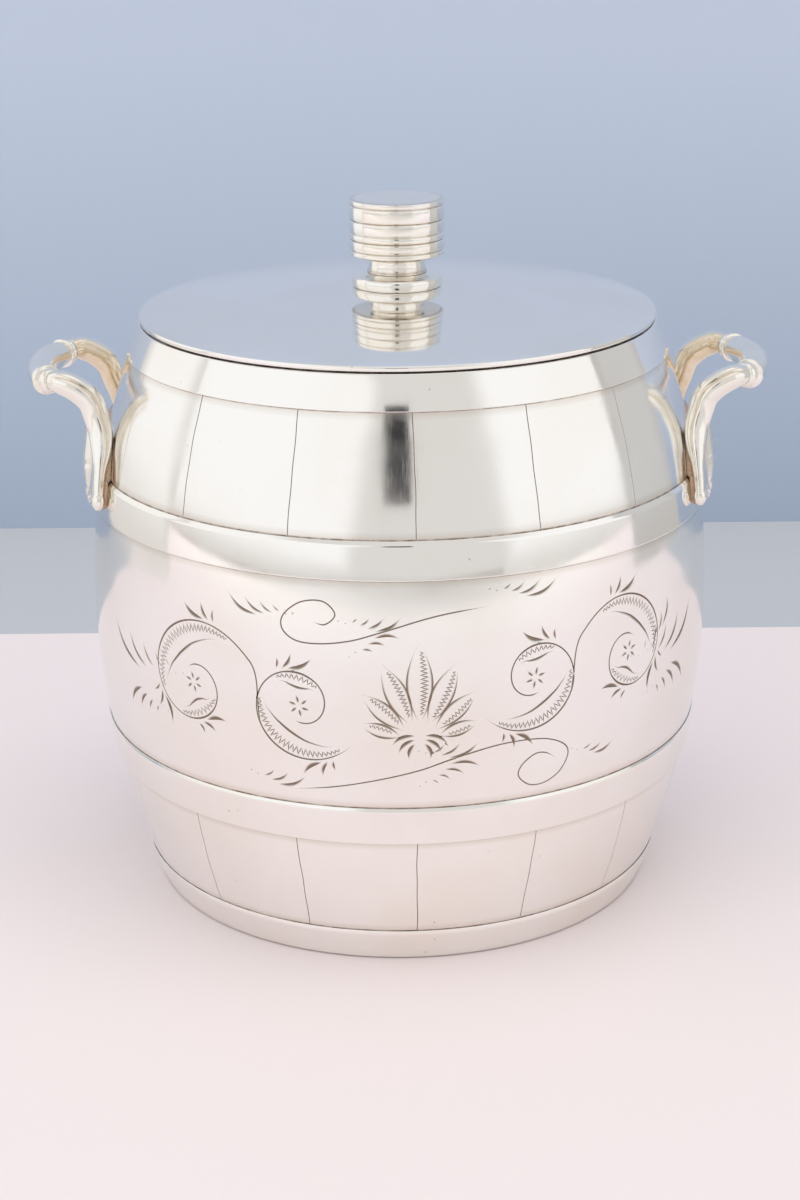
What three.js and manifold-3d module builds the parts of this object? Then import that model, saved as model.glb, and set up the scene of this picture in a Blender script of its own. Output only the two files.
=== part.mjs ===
// Biscuit barrel in silver plate: a coopered barrel with four hoops, a lift-off domed lid with a turned
// knob, and two cast side handles. Millimetres, +Z up, origin on the table under the middle of the barrel.
import * as THREE from 'three';
import { mergeVertices } from 'three/addons/utils/BufferGeometryUtils.js';
import Module from 'manifold-3d';

const wasm = await Module();
wasm.setup();

// Barrel wall
const bellyRadius = 75;
const footRadius = 60.9;
const mouthRadius = 61;
const barrelHeight = 139.7;
const bellyHeight = 72.5;
const wallThickness = 1.2;
const footFlangeWidth = 5;
const footFlangeThickness = 1.2;
const basePlateThickness = 1;

// Hoops, each given by its lower edge and its width. The upper one is measured down from the rim.
const hoopThickness = 0.5;
const footHoopLift = 0.3;
const footHoopWidth = 8.1;
const lowerHoopHeight = 34;
const lowerHoopWidth = 9.3;
const upperHoopDrop = 42.7;
const upperHoopHeight = barrelHeight - upperHoopDrop;
const upperHoopWidth = 8.5;
const topHoopWidth = 7.6;

// Gaps between pieces: a soldered lap, a seat that pieces rest on, and the loose fit of the lid
const solderGap = 0.1;
const seatGap = 0.3;
const lidFitGap = 0.5;

// Lid
const lidOverhang = 0.4;
const lidRadius = mouthRadius + lidOverhang;
const lidEdgeThickness = 1.3;
const lidThickness = 1.1;
const lidRise = 5.3;
const lidEdgeRound = 0.35;
const lidLandWidth = 3.5;
const bezelThickness = 0.9;
const bezelDepth = 7;

// Knob, its foot and what holds it under the lid
const drumRadius = 11.4;
const drumHeight = 13.6;
const drumCrown = 0.5;
const neckRadius = 6.8;
const neckHeight = 3.7;
const neckFillet = 0.6;
const knobFootRadius = 10.8;
const knobFootHeight = 2.6;
const knobFootGroove = 0.3;
const studRadius = 2;
const studDepthInKnob = 9;
const studTail = 0.8;
const washerRadius = 5;
const washerThickness = 0.9;
const nutFlatRadius = 3.6;
const nutThickness = 3.2;

// Side handles: a bowed grip on two arms, each of which runs down into a strand with a ball at its tip.
// The tips lie over the upper hoop, the leaf's top above them and its tip below.
const handleTipLift = 2.2;
const handleTipHeight = upperHoopHeight + handleTipLift;
const handleHeight = 28.5;
const gripReach = 19.6;
const armSpread = 18.4;
const armHalfWidth = 3;
const armHalfDepth = 2.2;
const tipBallRadius = 1.5;
const tipBallLength = 4.2;
const gripLength = 26;
const gripRadius = 3.4;
const gripEndRadius = 3.1;
const collarRadius = 3.6;
const collarLength = 1.2;
const beadRadius = 3;
const beadLength = 2.2;
const spigotRadius = 1.3;
const spigotDepth = 4;

// The leaf between the strands: a bent shield with a raised rib down its middle
const leafTopLift = 15.3;
const leafTipDrop = 5.9;
const leafTopHeight = handleTipHeight + leafTopLift;
const leafTipHeight = handleTipHeight - leafTipDrop;
const leafHalfWidth = 24.5;
const leafBackGap = 1;
const leafPlateLift = 2.4;
const leafRibRise = 3.2;
const leafRibHalfWidth = 8;

// Facets
const wallSides = 64;
const knobSides = 28;
const barSides = 10;
const pinSides = 8;
const armStep = 2.2;
const ballSteps = 5;
const leafSteps = 14;
const outerStep = 9;
const innerStep = 24;
const domeStep = 20;

// The wall is two circular arcs that meet, upright, at the widest ring.
function wallRadiusAt(z) {
  const isAbove = z > bellyHeight;
  const span = isAbove ? barrelHeight - bellyHeight : bellyHeight;
  const bulge = bellyRadius - (isAbove ? mouthRadius : footRadius);
  const arcRadius = (span * span + bulge * bulge) / (2 * bulge);
  return bellyRadius - arcRadius + Math.sqrt(arcRadius * arcRadius - (z - bellyHeight) ** 2);
}

// Heights from low to high, in equal steps no longer than the step given
function heightsBetween(low, high, step) {
  const count = Math.max(1, Math.ceil((high - low) / step));
  return Array.from({ length: count + 1 }, (_, i) => low + ((high - low) * i) / count);
}

const hoops = [
  { name: 'foot_hoop', low: footHoopLift, high: footHoopLift + footHoopWidth },
  { name: 'lower_hoop', low: lowerHoopHeight, high: lowerHoopHeight + lowerHoopWidth },
  { name: 'upper_hoop', low: upperHoopHeight, high: upperHoopHeight + upperHoopWidth },
  { name: 'top_hoop', low: barrelHeight - topHoopWidth, high: barrelHeight },
];

// Every height at which the outside of the wall has a ring of corners, so that hoops follow its facets
function wallHeights() {
  const edges = [0, ...hoops.flatMap((hoop) => [hoop.low, hoop.high])];
  const heights = [];
  for (let i = 0; i + 1 < edges.length; i += 1) {
    heights.push(...heightsBetween(edges[i], edges[i + 1], outerStep).slice(0, -1));
  }
  return [...heights, barrelHeight];
}

// Turns a profile of [radius, height] pairs about the Z axis. A closed profile is a ring.
function revolve(profile, sides, isRing) {
  const points = profile.map(([radius, height]) => new THREE.Vector2(radius, height));
  if (isRing) {
    points.push(points[0].clone());
  }
  return outward(new THREE.LatheGeometry(points, sides).rotateX(Math.PI / 2));
}

function signedVolume(geometry) {
  const place = geometry.getAttribute('position');
  const index = geometry.getIndex();
  const corner = (i) => new THREE.Vector3().fromBufferAttribute(place, index.getX(i));
  let total = 0;
  for (let i = 0; i < index.count; i += 3) {
    total += corner(i).dot(corner(i + 1).cross(corner(i + 2)));
  }
  return total;
}

// Turns all faces round if they point inwards
function outward(geometry) {
  if (signedVolume(geometry) < 0) {
    const order = geometry.getIndex().array;
    for (let i = 0; i < order.length; i += 3) {
      [order[i], order[i + 1]] = [order[i + 1], order[i]];
    }
  }
  return geometry;
}

function toSolid(geometry) {
  const bare = geometry.clone();
  bare.deleteAttribute('normal');
  bare.deleteAttribute('uv');
  const merged = mergeVertices(bare);
  return new wasm.Manifold(new wasm.Mesh({
    numProp: 3,
    vertProperties: new Float32Array(merged.getAttribute('position').array),
    triVerts: new Uint32Array(merged.getIndex().array),
  }));
}

function toGeometry(solid) {
  const mesh = solid.getMesh();
  const geometry = new THREE.BufferGeometry();
  geometry.setAttribute('position', new THREE.BufferAttribute(mesh.vertProperties, 3));
  geometry.setIndex(new THREE.BufferAttribute(mesh.triVerts, 1));
  return geometry;
}

function barrelWall() {
  const innerHeights = heightsBetween(footFlangeThickness, barrelHeight, innerStep).reverse();
  const flangeRadius = footRadius - footFlangeWidth;
  return revolve([
    [flangeRadius, 0],
    ...wallHeights().map((z) => [wallRadiusAt(z), z]),
    ...innerHeights.map((z) => [wallRadiusAt(z) - wallThickness, z]),
    [flangeRadius, footFlangeThickness],
  ], wallSides, true);
}

function basePlate() {
  const low = footFlangeThickness + seatGap;
  const radius = wallRadiusAt(0) - wallThickness - seatGap;
  const high = low + basePlateThickness;
  return revolve([[0, low], [radius, low], [radius, high], [0, high]], wallSides);
}

// A flat band bent round the wall. The extra gap makes the same band as a cutter.
function hoopBand(hoop, gap = 0) {
  const heights = wallHeights().filter((z) => z >= hoop.low && z <= hoop.high);
  const inside = heights.map((z) => [wallRadiusAt(z) + solderGap - gap, z]);
  const outside = heights.map((z) => [wallRadiusAt(z) + solderGap + hoopThickness + gap, z]);
  return revolve([...inside.reverse(), ...outside], wallSides, true);
}

const lidBottom = barrelHeight + seatGap;
const lidTop = lidBottom + lidEdgeThickness;

// Height of the lid's upper face, a shallow dome that meets the edge at the lid's radius
function lidHeightAt(radius) {
  const sphereRadius = (lidRadius ** 2 + lidRise ** 2) / (2 * lidRise);
  return lidTop + lidRise - sphereRadius + Math.sqrt(sphereRadius ** 2 - radius ** 2);
}

function lidPlate() {
  const holeRadius = studRadius + seatGap;
  const landRadius = lidRadius - lidLandWidth;
  const rings = heightsBetween(holeRadius, landRadius, domeStep);
  return revolve([
    [lidRadius - lidEdgeRound, lidBottom],
    [lidRadius, lidBottom + lidEdgeRound],
    [lidRadius, lidTop - lidEdgeRound],
    [lidRadius - lidEdgeRound, lidHeightAt(lidRadius - lidEdgeRound)],
    ...rings.toReversed().map((radius) => [radius, lidHeightAt(radius)]),
    ...rings.map((radius) => [radius, lidHeightAt(radius) - lidThickness]),
    [landRadius, lidBottom],
  ], wallSides, true);
}

// The ring under the lid that drops into the mouth and keeps the lid central
function lidBezel() {
  const outer = mouthRadius - wallThickness - lidFitGap;
  const inner = outer - bezelThickness;
  const top = lidBottom - solderGap;
  const taperHeight = bezelThickness;
  return revolve([
    [inner, top - bezelDepth],
    [outer - bezelThickness / 2, top - bezelDepth],
    [outer, top - bezelDepth + taperHeight],
    [outer, top],
    [inner, top],
  ], wallSides, true);
}

const knobFootBottom = lidHeightAt(studRadius) + seatGap;
const knobFootTop = knobFootBottom + knobFootHeight;

// The groove round the knob's foot, as a share of its height
const knobFootWaistShare = 0.42;

function knobFoot() {
  const holeRadius = studRadius + seatGap;
  const restAt = (radius) => lidHeightAt(radius) + seatGap;
  const waist = knobFootBottom + knobFootHeight * knobFootWaistShare;
  return revolve([
    [holeRadius, restAt(holeRadius)],
    [neckRadius, restAt(neckRadius)],
    [knobFootRadius - knobFootGroove, restAt(knobFootRadius)],
    [knobFootRadius, waist - knobFootGroove],
    [knobFootRadius - knobFootGroove, waist],
    [knobFootRadius, waist + knobFootGroove],
    [knobFootRadius, knobFootTop - knobFootGroove],
    [knobFootRadius - knobFootGroove, knobFootTop],
    [holeRadius, knobFootTop],
  ], knobSides, true);
}

const knobBottom = knobFootTop + seatGap;
const drumBottom = knobBottom + neckHeight;

// The turned rings of the drum: shares of its height and of its radius, from the bottom up
const drumRingShares = [
  [0, 0.8], [0.03, 0.9], [0.09, 0.965], [0.19, 1], [0.28, 0.978], [0.305, 0.955],
  [0.33, 0.975], [0.38, 0.995], [0.425, 0.98], [0.437, 0.962], [0.45, 0.977], [0.54, 0.987],
  [0.63, 0.972], [0.665, 0.952], [0.69, 0.97], [0.75, 0.985], [0.81, 0.968], [0.835, 0.948],
  [0.87, 0.97], [0.9, 0.957], [0.935, 0.985], [0.965, 1], [1, 0.975],
];

// How far the crown of the drum has risen half way to its middle
const crownShare = 0.75;

function knob() {
  const boreRadius = studRadius + seatGap;
  const boreTop = knobBottom + studDepthInKnob + seatGap;
  const drumTop = drumBottom + drumHeight;
  return revolve([
    [0, boreTop],
    [boreRadius, boreTop],
    [boreRadius, knobBottom],
    [neckRadius + neckFillet, knobBottom],
    [neckRadius, knobBottom + neckFillet],
    [neckRadius, drumBottom],
    ...drumRingShares.map(([height, radius]) => [drumRadius * radius, drumBottom + drumHeight * height]),
    [drumRadius / 2, drumTop + drumCrown * crownShare],
    [0, drumTop + drumCrown],
  ], knobSides);
}

const washerTop = lidHeightAt(washerRadius) - lidThickness - seatGap;
const nutTop = washerTop - washerThickness - seatGap;
const studBottom = nutTop - nutThickness - studTail;

function knobStud() {
  const top = knobBottom + studDepthInKnob;
  return revolve([[0, studBottom], [studRadius, studBottom], [studRadius, top], [0, top]], pinSides);
}

function knobWasher() {
  const holeRadius = studRadius + seatGap;
  return revolve([
    [holeRadius, washerTop - washerThickness],
    [washerRadius, washerTop - washerThickness],
    [washerRadius, washerTop],
    [holeRadius, washerTop],
  ], knobSides, true);
}

function knobNut() {
  const cornerRadius = nutFlatRadius / Math.cos(Math.PI / 6);
  const outline = new THREE.Shape();
  for (let i = 0; i < 6; i += 1) {
    const angle = (i * Math.PI) / 3;
    const move = i === 0 ? 'moveTo' : 'lineTo';
    outline[move](cornerRadius * Math.cos(angle), cornerRadius * Math.sin(angle));
  }
  outline.closePath();
  const hole = new THREE.Path();
  hole.absarc(0, 0, studRadius + seatGap, 0, Math.PI * 2, true);
  outline.holes.push(hole);
  const extrusion = { depth: nutThickness, bevelEnabled: false, curveSegments: pinSides };
  return new THREE.ExtrudeGeometry(outline, extrusion).translate(0, 0, nutTop - nutThickness);
}

// The line that one handle follows, from the tip of its rear strand over the grip to the tip of the
// front one. Shares of the handle's height, of the arm's spread and of the grip's reach off the wall.
const handleLineShares = [
  [0, 1.44, 0.13], [0.1, 1.42, 0.135], [0.22, 1.36, 0.138], [0.36, 1.26, 0.135], [0.48, 1.16, 0.135],
  [0.6, 1.07, 0.17], [0.73, 1.015, 0.265], [0.856, 1, 0.385], [0.954, 0.99, 0.6],
  [1, 0.95, 0.78], [0.99, 0.76, 0.91], [0.997, 0.38, 0.98], [1, 0, 1],
];

function handlePoint([heightShare, spreadShare, reachShare], front) {
  const z = handleTipHeight + handleHeight * heightShare;
  const y = armSpread * spreadShare * front;
  const wallX = Math.sqrt(wallRadiusAt(z) ** 2 - y ** 2);
  return new THREE.Vector3(wallX + gripReach * reachShare, y, z);
}

const handleLine = new THREE.CatmullRomCurve3([
  ...handleLineShares.map((row) => handlePoint(row, 1)),
  ...handleLineShares.slice(0, -1).reverse().map((row) => handlePoint(row, -1)),
], false, 'centripetal');
handleLine.arcLengthDivisions = 2000;
const handleLineLength = handleLine.getLength();

// An oval bar along the handle's line, with a ring at each distance from the middle of the grip. sizeAt
// gives its two half sizes at a distance, and the first lies square to the line and to across.
function barAlong(distances, sizeAt, sides, across) {
  return loft(distances.map((distance) => {
    const along = THREE.MathUtils.clamp(0.5 + distance / handleLineLength, 0, 1);
    const centre = handleLine.getPointAt(along);
    const tangent = handleLine.getTangentAt(along);
    const wide = across.clone().cross(tangent).normalize();
    const deep = tangent.clone().cross(wide);
    const [halfWidth, halfDepth] = sizeAt(Math.abs(distance));
    return Array.from({ length: sides }, (_, k) => {
      const angle = (k * 2 * Math.PI) / sides;
      return centre.clone()
        .addScaledVector(wide, halfWidth * Math.cos(angle))
        .addScaledVector(deep, halfDepth * Math.sin(angle));
    });
  }));
}

function middleOf(points) {
  const sum = new THREE.Vector3();
  points.forEach((point) => sum.add(point));
  return sum.divideScalar(points.length);
}

// Skins a row of rings of points and closes both ends with a fan about their middles
function loft(rings) {
  const sides = rings[0].length;
  const places = rings.flat().flatMap((point) => point.toArray());
  places.push(...middleOf(rings[0]).toArray(), ...middleOf(rings.at(-1)).toArray());
  const firstMiddle = rings.length * sides;
  const order = [];
  for (let k = 0; k < sides; k += 1) {
    const next = (k + 1) % sides;
    for (let i = 0; i + 1 < rings.length; i += 1) {
      const here = i * sides;
      const above = here + sides;
      order.push(here + k, here + next, above + k, above + k, here + next, above + next);
    }
    const last = (rings.length - 1) * sides;
    order.push(firstMiddle, next, k, firstMiddle + 1, last + k, last + next);
  }
  const geometry = new THREE.BufferGeometry();
  geometry.setAttribute('position', new THREE.Float32BufferAttribute(places, 3));
  geometry.setIndex(new THREE.Uint32BufferAttribute(order, 1));
  return outward(geometry);
}

const acrossArms = new THREE.Vector3(0, 1, 0);
const acrossGrip = new THREE.Vector3(0, 0, 1);
const collarStart = gripLength / 2 + seatGap;
const beadStart = collarStart + collarLength + seatGap;
const armStart = beadStart + beadLength + seatGap;
const strandEnd = handleLineLength / 2;

// Straight runs between rows of [share, then one or more sizes]
function between(rows, share) {
  const next = Math.max(1, rows.findIndex((row) => row[0] >= share));
  const [from, to] = [rows[next - 1], rows[next]];
  const part = (share - from[0]) / (to[0] - from[0]);
  return from.slice(1).map((size, i) => THREE.MathUtils.lerp(size, to[i + 1], part));
}

// Half sizes of an arm as shares of its full ones, from the bead down to the tip of its strand
const armTaperShares = [
  [0, 0.76, 1.04], [0.06, 0.95, 1.2], [0.25, 1.05, 1.18], [0.45, 1, 1.1], [0.57, 0.9, 1.04],
  [0.66, 0.7, 0.9], [0.75, 0.46, 0.64], [0.86, 0.42, 0.56], [0.93, 0.38, 0.5], [1, 0.2, 0.25],
];

// Half sizes of an arm at a distance from the middle of the grip: its taper, or the ball where that is wider
function armSizeAt(distance, gap) {
  const [wide, deep] = between(armTaperShares, (distance - armStart) / (strandEnd - armStart));
  const fromBall = (distance - (strandEnd - tipBallLength / 2)) / (tipBallLength / 2);
  const ball = tipBallRadius * Math.sqrt(Math.max(0, 1 - fromBall ** 2));
  return [Math.max(armHalfWidth * wide, ball) + gap, Math.max(armHalfDepth * deep, ball) + gap];
}

// One arm with its strand, from the bead at the grip down to the ball at the tip
function armBar(front, gap = 0) {
  const ballStart = strandEnd - tipBallLength;
  const ballStep = tipBallLength / ballSteps;
  const distances = [
    ...heightsBetween(armStart, ballStart, armStep),
    ...heightsBetween(ballStart, strandEnd, ballStep).slice(1),
  ].map((distance) => distance * front);
  return toSolid(barAlong(distances, (distance) => armSizeAt(distance, gap), barSides, acrossArms));
}

// The pin at the end of an arm, through the bead and the collar into the grip
function spigot(front, gap = 0) {
  const size = spigotRadius + gap;
  const start = gripLength / 2 - spigotDepth - gap;
  const distances = heightsBetween(start, armStart + armHalfDepth, spigotDepth).map((distance) => distance * front);
  return toSolid(barAlong(distances, () => [size, size], pinSides, acrossGrip));
}

// The barrel as a solid block with its hoops, grown by the seat gap, for cutting what lies against it
function barrelCutter() {
  const outside = wallHeights().map((z) => [wallRadiusAt(z) + seatGap, z]);
  const block = toSolid(revolve([[0, 0], ...outside, [0, barrelHeight]], wallSides));
  return hoops.reduce((solid, hoop) => solid.add(toSolid(hoopBand(hoop, seatGap))), block);
}

const barrelShape = barrelCutter();

function arm(front) {
  return toGeometry(armBar(front).add(spigot(front)).subtract(barrelShape));
}

// A bowed round tube, a little thicker in its middle
function grip() {
  const half = gripLength / 2;
  const swell = (distance) => {
    const radius = gripEndRadius + (gripRadius - gripEndRadius) * Math.cos((Math.PI * distance) / gripLength);
    return [radius, radius];
  };
  const tube = toSolid(barAlong(heightsBetween(-half, half, armStep), swell, barSides, acrossGrip));
  return toGeometry(tube.subtract(spigot(1, seatGap)).subtract(spigot(-1, seatGap)));
}

// A ring threaded on the spigot, whose outside is rounded by a share of its radius
const ringRoundShare = 0.14;

function threadedRing(start, length, radius, front) {
  const round = (distance) => {
    const rise = Math.sin((Math.PI * (distance - start)) / length);
    const size = radius * (1 - ringRoundShare + ringRoundShare * rise);
    return [size, size];
  };
  const distances = heightsBetween(start, start + length, length / 3).map((distance) => distance * front);
  return toGeometry(toSolid(barAlong(distances, round, barSides, acrossGrip)).subtract(spigot(front, seatGap)));
}

// The leaf from its top to its tip: shares of its half width, of its plate's lift and of its rib's rise
const leafShares = [
  [0, 0.72, 0.9, 1], [0.1, 0.8, 1, 1.08], [0.28, 0.88, 1, 1], [0.42, 0.94, 1, 0.98], [0.46, 0.96, 1, 0.8],
  [0.52, 0.98, 1, 0.9], [0.68, 1, 0.95, 0.62], [0.72, 0.96, 0.9, 0.46], [0.77, 0.84, 0.85, 0.52],
  [0.86, 0.5, 0.8, 0.36], [0.93, 0.28, 0.75, 0.22], [1, 0.1, 0.65, 0.1],
];

// A ring of the leaf: its outside from front to rear, with the rib, and back along its inside
function leafRing([share, width, lift, rise]) {
  const z = THREE.MathUtils.lerp(leafTopHeight, leafTipHeight, share);
  const spots = heightsBetween(-1, 1, 2 / leafSteps).map((spot) => spot * leafHalfWidth * width);
  const pointAt = (y, out) => new THREE.Vector3(Math.sqrt(wallRadiusAt(z) ** 2 - y ** 2) + out, y, z);
  const ribHalfWidth = Math.min(leafRibHalfWidth, leafHalfWidth * width);
  const outside = spots.map((y) => {
    const rib = leafRibRise * rise * Math.max(0, 1 - (y / ribHalfWidth) ** 2);
    return pointAt(y, leafPlateLift * lift + rib);
  });
  const inside = spots.filter((_, i) => i % 2 === 0).map((y) => pointAt(y, leafBackGap));
  return [...outside, ...inside.reverse()];
}

function leaf() {
  const strands = armBar(1, seatGap).add(armBar(-1, seatGap));
  return toGeometry(toSolid(loft(leafShares.map(leafRing))).subtract(strands).subtract(barrelShape));
}

const silver = { color: 0xe6e2dc, roughness: 0.12, metalness: 1 };
const warmSilver = { color: 0xe8dcc4, roughness: 0.16, metalness: 1 };
const plainBrass = { color: 0xb99a5b, roughness: 0.35, metalness: 1 };

const biscuitBarrel = new THREE.Group();

function place(parent, name, geometry, finish) {
  const mesh = new THREE.Mesh(geometry, new THREE.MeshStandardMaterial(finish));
  mesh.name = name;
  parent.add(mesh);
}

function placeBarrel() {
  place(biscuitBarrel, 'barrel_wall', barrelWall(), silver);
  place(biscuitBarrel, 'base_plate', basePlate(), silver);
  for (const hoop of hoops) {
    place(biscuitBarrel, hoop.name, hoopBand(hoop), silver);
  }
}

function placeLid() {
  place(biscuitBarrel, 'lid_plate', lidPlate(), silver);
  place(biscuitBarrel, 'lid_bezel', lidBezel(), silver);
  place(biscuitBarrel, 'knob', knob(), warmSilver);
  place(biscuitBarrel, 'knob_foot', knobFoot(), warmSilver);
  place(biscuitBarrel, 'knob_stud', knobStud(), plainBrass);
  place(biscuitBarrel, 'knob_washer', knobWasher(), plainBrass);
  place(biscuitBarrel, 'knob_nut', knobNut(), plainBrass);
}

// Both handles are the same casting, the second one turned half round the barrel. In each, the end that
// lies towards the viewer of the front is called front.
function placeHandle(sideName, isTurned) {
  const handle = new THREE.Group();
  handle.rotation.z = isTurned ? Math.PI : 0;
  biscuitBarrel.add(handle);
  place(handle, `${sideName}_grip`, grip(), warmSilver);
  place(handle, `${sideName}_leaf`, leaf(), warmSilver);
  for (const end of [1, -1]) {
    const isRear = isTurned ? end < 0 : end > 0;
    const label = `${sideName}_${isRear ? 'rear' : 'front'}`;
    place(handle, `${label}_arm`, arm(-end), warmSilver);
    place(handle, `${label}_collar`, threadedRing(collarStart, collarLength, collarRadius, -end), warmSilver);
    place(handle, `${label}_bead`, threadedRing(beadStart, beadLength, beadRadius, -end), warmSilver);
  }
}

placeBarrel();
placeLid();
placeHandle('right', false);
placeHandle('left', true);

export default biscuitBarrel;
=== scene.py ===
"""A biscuit barrel in silver plate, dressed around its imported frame: polished and engraved wall, soldered
hoops, domed lid with a turned knob, and two cast side handles. Lengths are metres, but for the engraving,
which is laid out in millimetres."""
import math

import bmesh
import bpy
import numpy as np
from mathutils import Matrix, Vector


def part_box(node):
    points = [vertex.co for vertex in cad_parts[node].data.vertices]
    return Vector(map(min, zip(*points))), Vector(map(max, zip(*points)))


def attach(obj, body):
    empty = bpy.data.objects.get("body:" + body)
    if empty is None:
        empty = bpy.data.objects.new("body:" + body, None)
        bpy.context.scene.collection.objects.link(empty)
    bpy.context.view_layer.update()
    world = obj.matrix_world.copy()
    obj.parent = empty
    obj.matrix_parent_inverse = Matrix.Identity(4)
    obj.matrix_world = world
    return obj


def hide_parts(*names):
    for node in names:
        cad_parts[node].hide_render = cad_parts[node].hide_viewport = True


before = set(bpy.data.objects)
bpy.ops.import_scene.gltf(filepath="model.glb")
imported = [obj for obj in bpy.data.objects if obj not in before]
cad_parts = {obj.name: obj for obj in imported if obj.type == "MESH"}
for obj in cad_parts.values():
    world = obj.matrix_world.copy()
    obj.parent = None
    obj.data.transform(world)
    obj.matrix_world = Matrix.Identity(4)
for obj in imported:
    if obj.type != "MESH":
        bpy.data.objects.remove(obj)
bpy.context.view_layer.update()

MM = 0.001
FULL_TURN = 2 * math.pi

# Places taken from the frame
FOOT_Z, RIM_Z = (corner.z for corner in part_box("barrel_wall"))
BELLY_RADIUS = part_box("barrel_wall")[1].y
HOOP_NAMES = ("foot_hoop", "lower_hoop", "upper_hoop", "top_hoop")
HOOP_SPANS = {name: tuple(corner.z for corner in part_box(name)) for name in HOOP_NAMES}
LID_EDGE_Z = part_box("lid_plate")[0].z
LID_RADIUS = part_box("lid_plate")[1].y
KNOB_LOW, KNOB_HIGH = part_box("knob")
KNOB_FOOT_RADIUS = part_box("knob_foot")[1].y

# Wall
FOOT_RADIUS = 60.9 * MM
MOUTH_RADIUS = 61 * MM
BELLY_Z = 72.5 * MM
WALL_THICKNESS = 1.2 * MM
FLANGE_WIDTH = 5 * MM
FLANGE_THICKNESS = 1.2 * MM
HOOP_STAND = 0.6 * MM
HOOP_SINK = 0.02 * MM
HOOP_EASE = 0.28 * MM
HOOP_SLOPE = 0.9 * MM
HOOP_LIP = 0.16 * MM
HOOP_FADE = 0.4 * MM
STAVE_COUNT = 16
FRONT_JOINT_TURN = math.radians(2.85)
WALL_COLUMNS = 256
WALL_ROWS = 104
INNER_ROWS = 24
TURNED_SIDES = 256
RIPPLE = 0.016 * MM
# Each wave: its share, its turns round the wall, how fast it runs up the wall, and where it starts
RIPPLE_WAVES = ((1, 5, 38, 0), (0.7, 9, -21, 1.3), (0.5, 3, 55, 2.1))

# Lid and knob
LID_EDGE_THICKNESS = 1.3 * MM
LID_THICKNESS = 1.1 * MM
LID_RISE = 5.3 * MM
LID_LAND = 3.5 * MM
LID_ROUNDING = 0.9 * MM
BEZEL_THICKNESS = 0.9 * MM
UPPER_STEPS = 36
LOWER_STEPS = 24
FINE_EDGE = 0.1 * MM
WASHER_EDGE = 0.12 * MM
DRUM_EDGE = 0.14 * MM
SOFT_EDGE = 0.2 * MM
NECK_RADIUS = 6.8 * MM
NECK_HEIGHT = 3.7 * MM
DRUM_CROWN = 0.5 * MM
SHOULDER_HEIGHT = 0.7 * MM
RING_GAP = 0.3 * MM
STUD_RADIUS = 2 * MM
STUD_HOLE = STUD_RADIUS + RING_GAP
STUD_STEPS = 160
STUD_SIDES = 48
WASHER_SIDES = 96
THREAD_PITCH = 0.7 * MM
THREAD_DEPTH = 0.22 * MM
NUT_SIDES = 144
NUT_CHAMFER = 0.5 * MM

# Handles
TIP_Z = 99.2 * MM
HANDLE_HEIGHT = 28.5 * MM
GRIP_REACH = 19.6 * MM
ARM_SPREAD = 18.4 * MM
ARM_HALF_WIDTH = 3 * MM
ARM_HALF_DEPTH = 2.2 * MM
ARM_GROOVE_SHARE = 0.58
ARM_GROOVE_WIDTH = 0.12
ARM_GROOVE_DEPTH = 0.13
# Golden darkening in the arm's groove and on its side towards the other arm: patina and painted shade
ARM_GROOVE_STAIN_AND_SHADE = 0.62
ARM_SIDE_STAIN_AND_SHADE = 0.74
TIP_BALL_RADIUS = 1.5 * MM
TIP_BALL_LENGTH = 4.2 * MM
GRIP_LENGTH = 26 * MM
GRIP_RADIUS = 3.4 * MM
GRIP_END_RADIUS = 3.1 * MM
COLLAR_RADIUS = 3.6 * MM
COLLAR_LENGTH = 1.2 * MM
BEAD_RADIUS = 3 * MM
BEAD_LENGTH = 2.2 * MM
COLLAR_ROUNDNESS = 0.1
BEAD_ROUNDNESS = 0.22
LEAF_TOP = 114.5 * MM
LEAF_TIP = 93.3 * MM
LEAF_HALF_WIDTH = 24.5 * MM
LEAF_BACK_GAP = 1 * MM
LEAF_PLATE_LIFT = 2.4 * MM
LEAF_RIB_RISE = 3.2 * MM
LEAF_RIB_HALF_WIDTH = 8 * MM
LEAF_FLUTES = 4.5
FLUTE_DEPTH = 0.42 * MM
STRETCH_STEPS = 40
ARM_ROWS = 150
GRIP_ROWS = 60
GRIP_EDGE = 0.3 * MM
RING_ROWS = 18
BAR_SIDES = 56
BAR_ANGLES = np.arange(BAR_SIDES) * FULL_TURN / BAR_SIDES
LEAF_ROWS = 110
LEAF_COLUMNS = 161
PUNCHED_SHARE = 0.86
PUNCHED_WIDTH = 0.022
SOLDER_SPREAD = 0.085
WALL_CLEARANCE = 0.3 * MM
SOLDER_GAP = 0.05 * MM

# The photograph's view: the camera's place, its tilt and its roll
CAMERA_DISTANCE = 540.4 * MM
CAMERA_HEIGHT = 256.8 * MM
CAMERA_TILT = math.radians(19.35)
CAMERA_ROLL = math.radians(-0.52)
CAMERA_LENS = 69
CAMERA_SENSOR = 36


# Meshes

MERGE_DISTANCE = 1e-7
FLAT_DISTANCE = 1e-8
SHARP_COSINE = math.cos(math.radians(12))
EASE_SHARE = 0.3
FLAT_REACH = 1.4
EASE_STEPS = 4


def pairs(first, second):
    """Two rows of numbers side by side, as the points of a profile or of a flat line."""
    return np.stack([first, second], axis=-1)


def add_mesh(name, points, faces):
    """A smooth mesh object from an (n, 3) array of points and an array of faces of equal corner count."""
    mesh = bpy.data.meshes.new(name)
    mesh.from_pydata(points.tolist(), [], faces.tolist())
    mesh.shade_smooth()
    piece = bpy.data.objects.new(name, mesh)
    bpy.context.scene.collection.objects.link(piece)
    return piece


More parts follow.
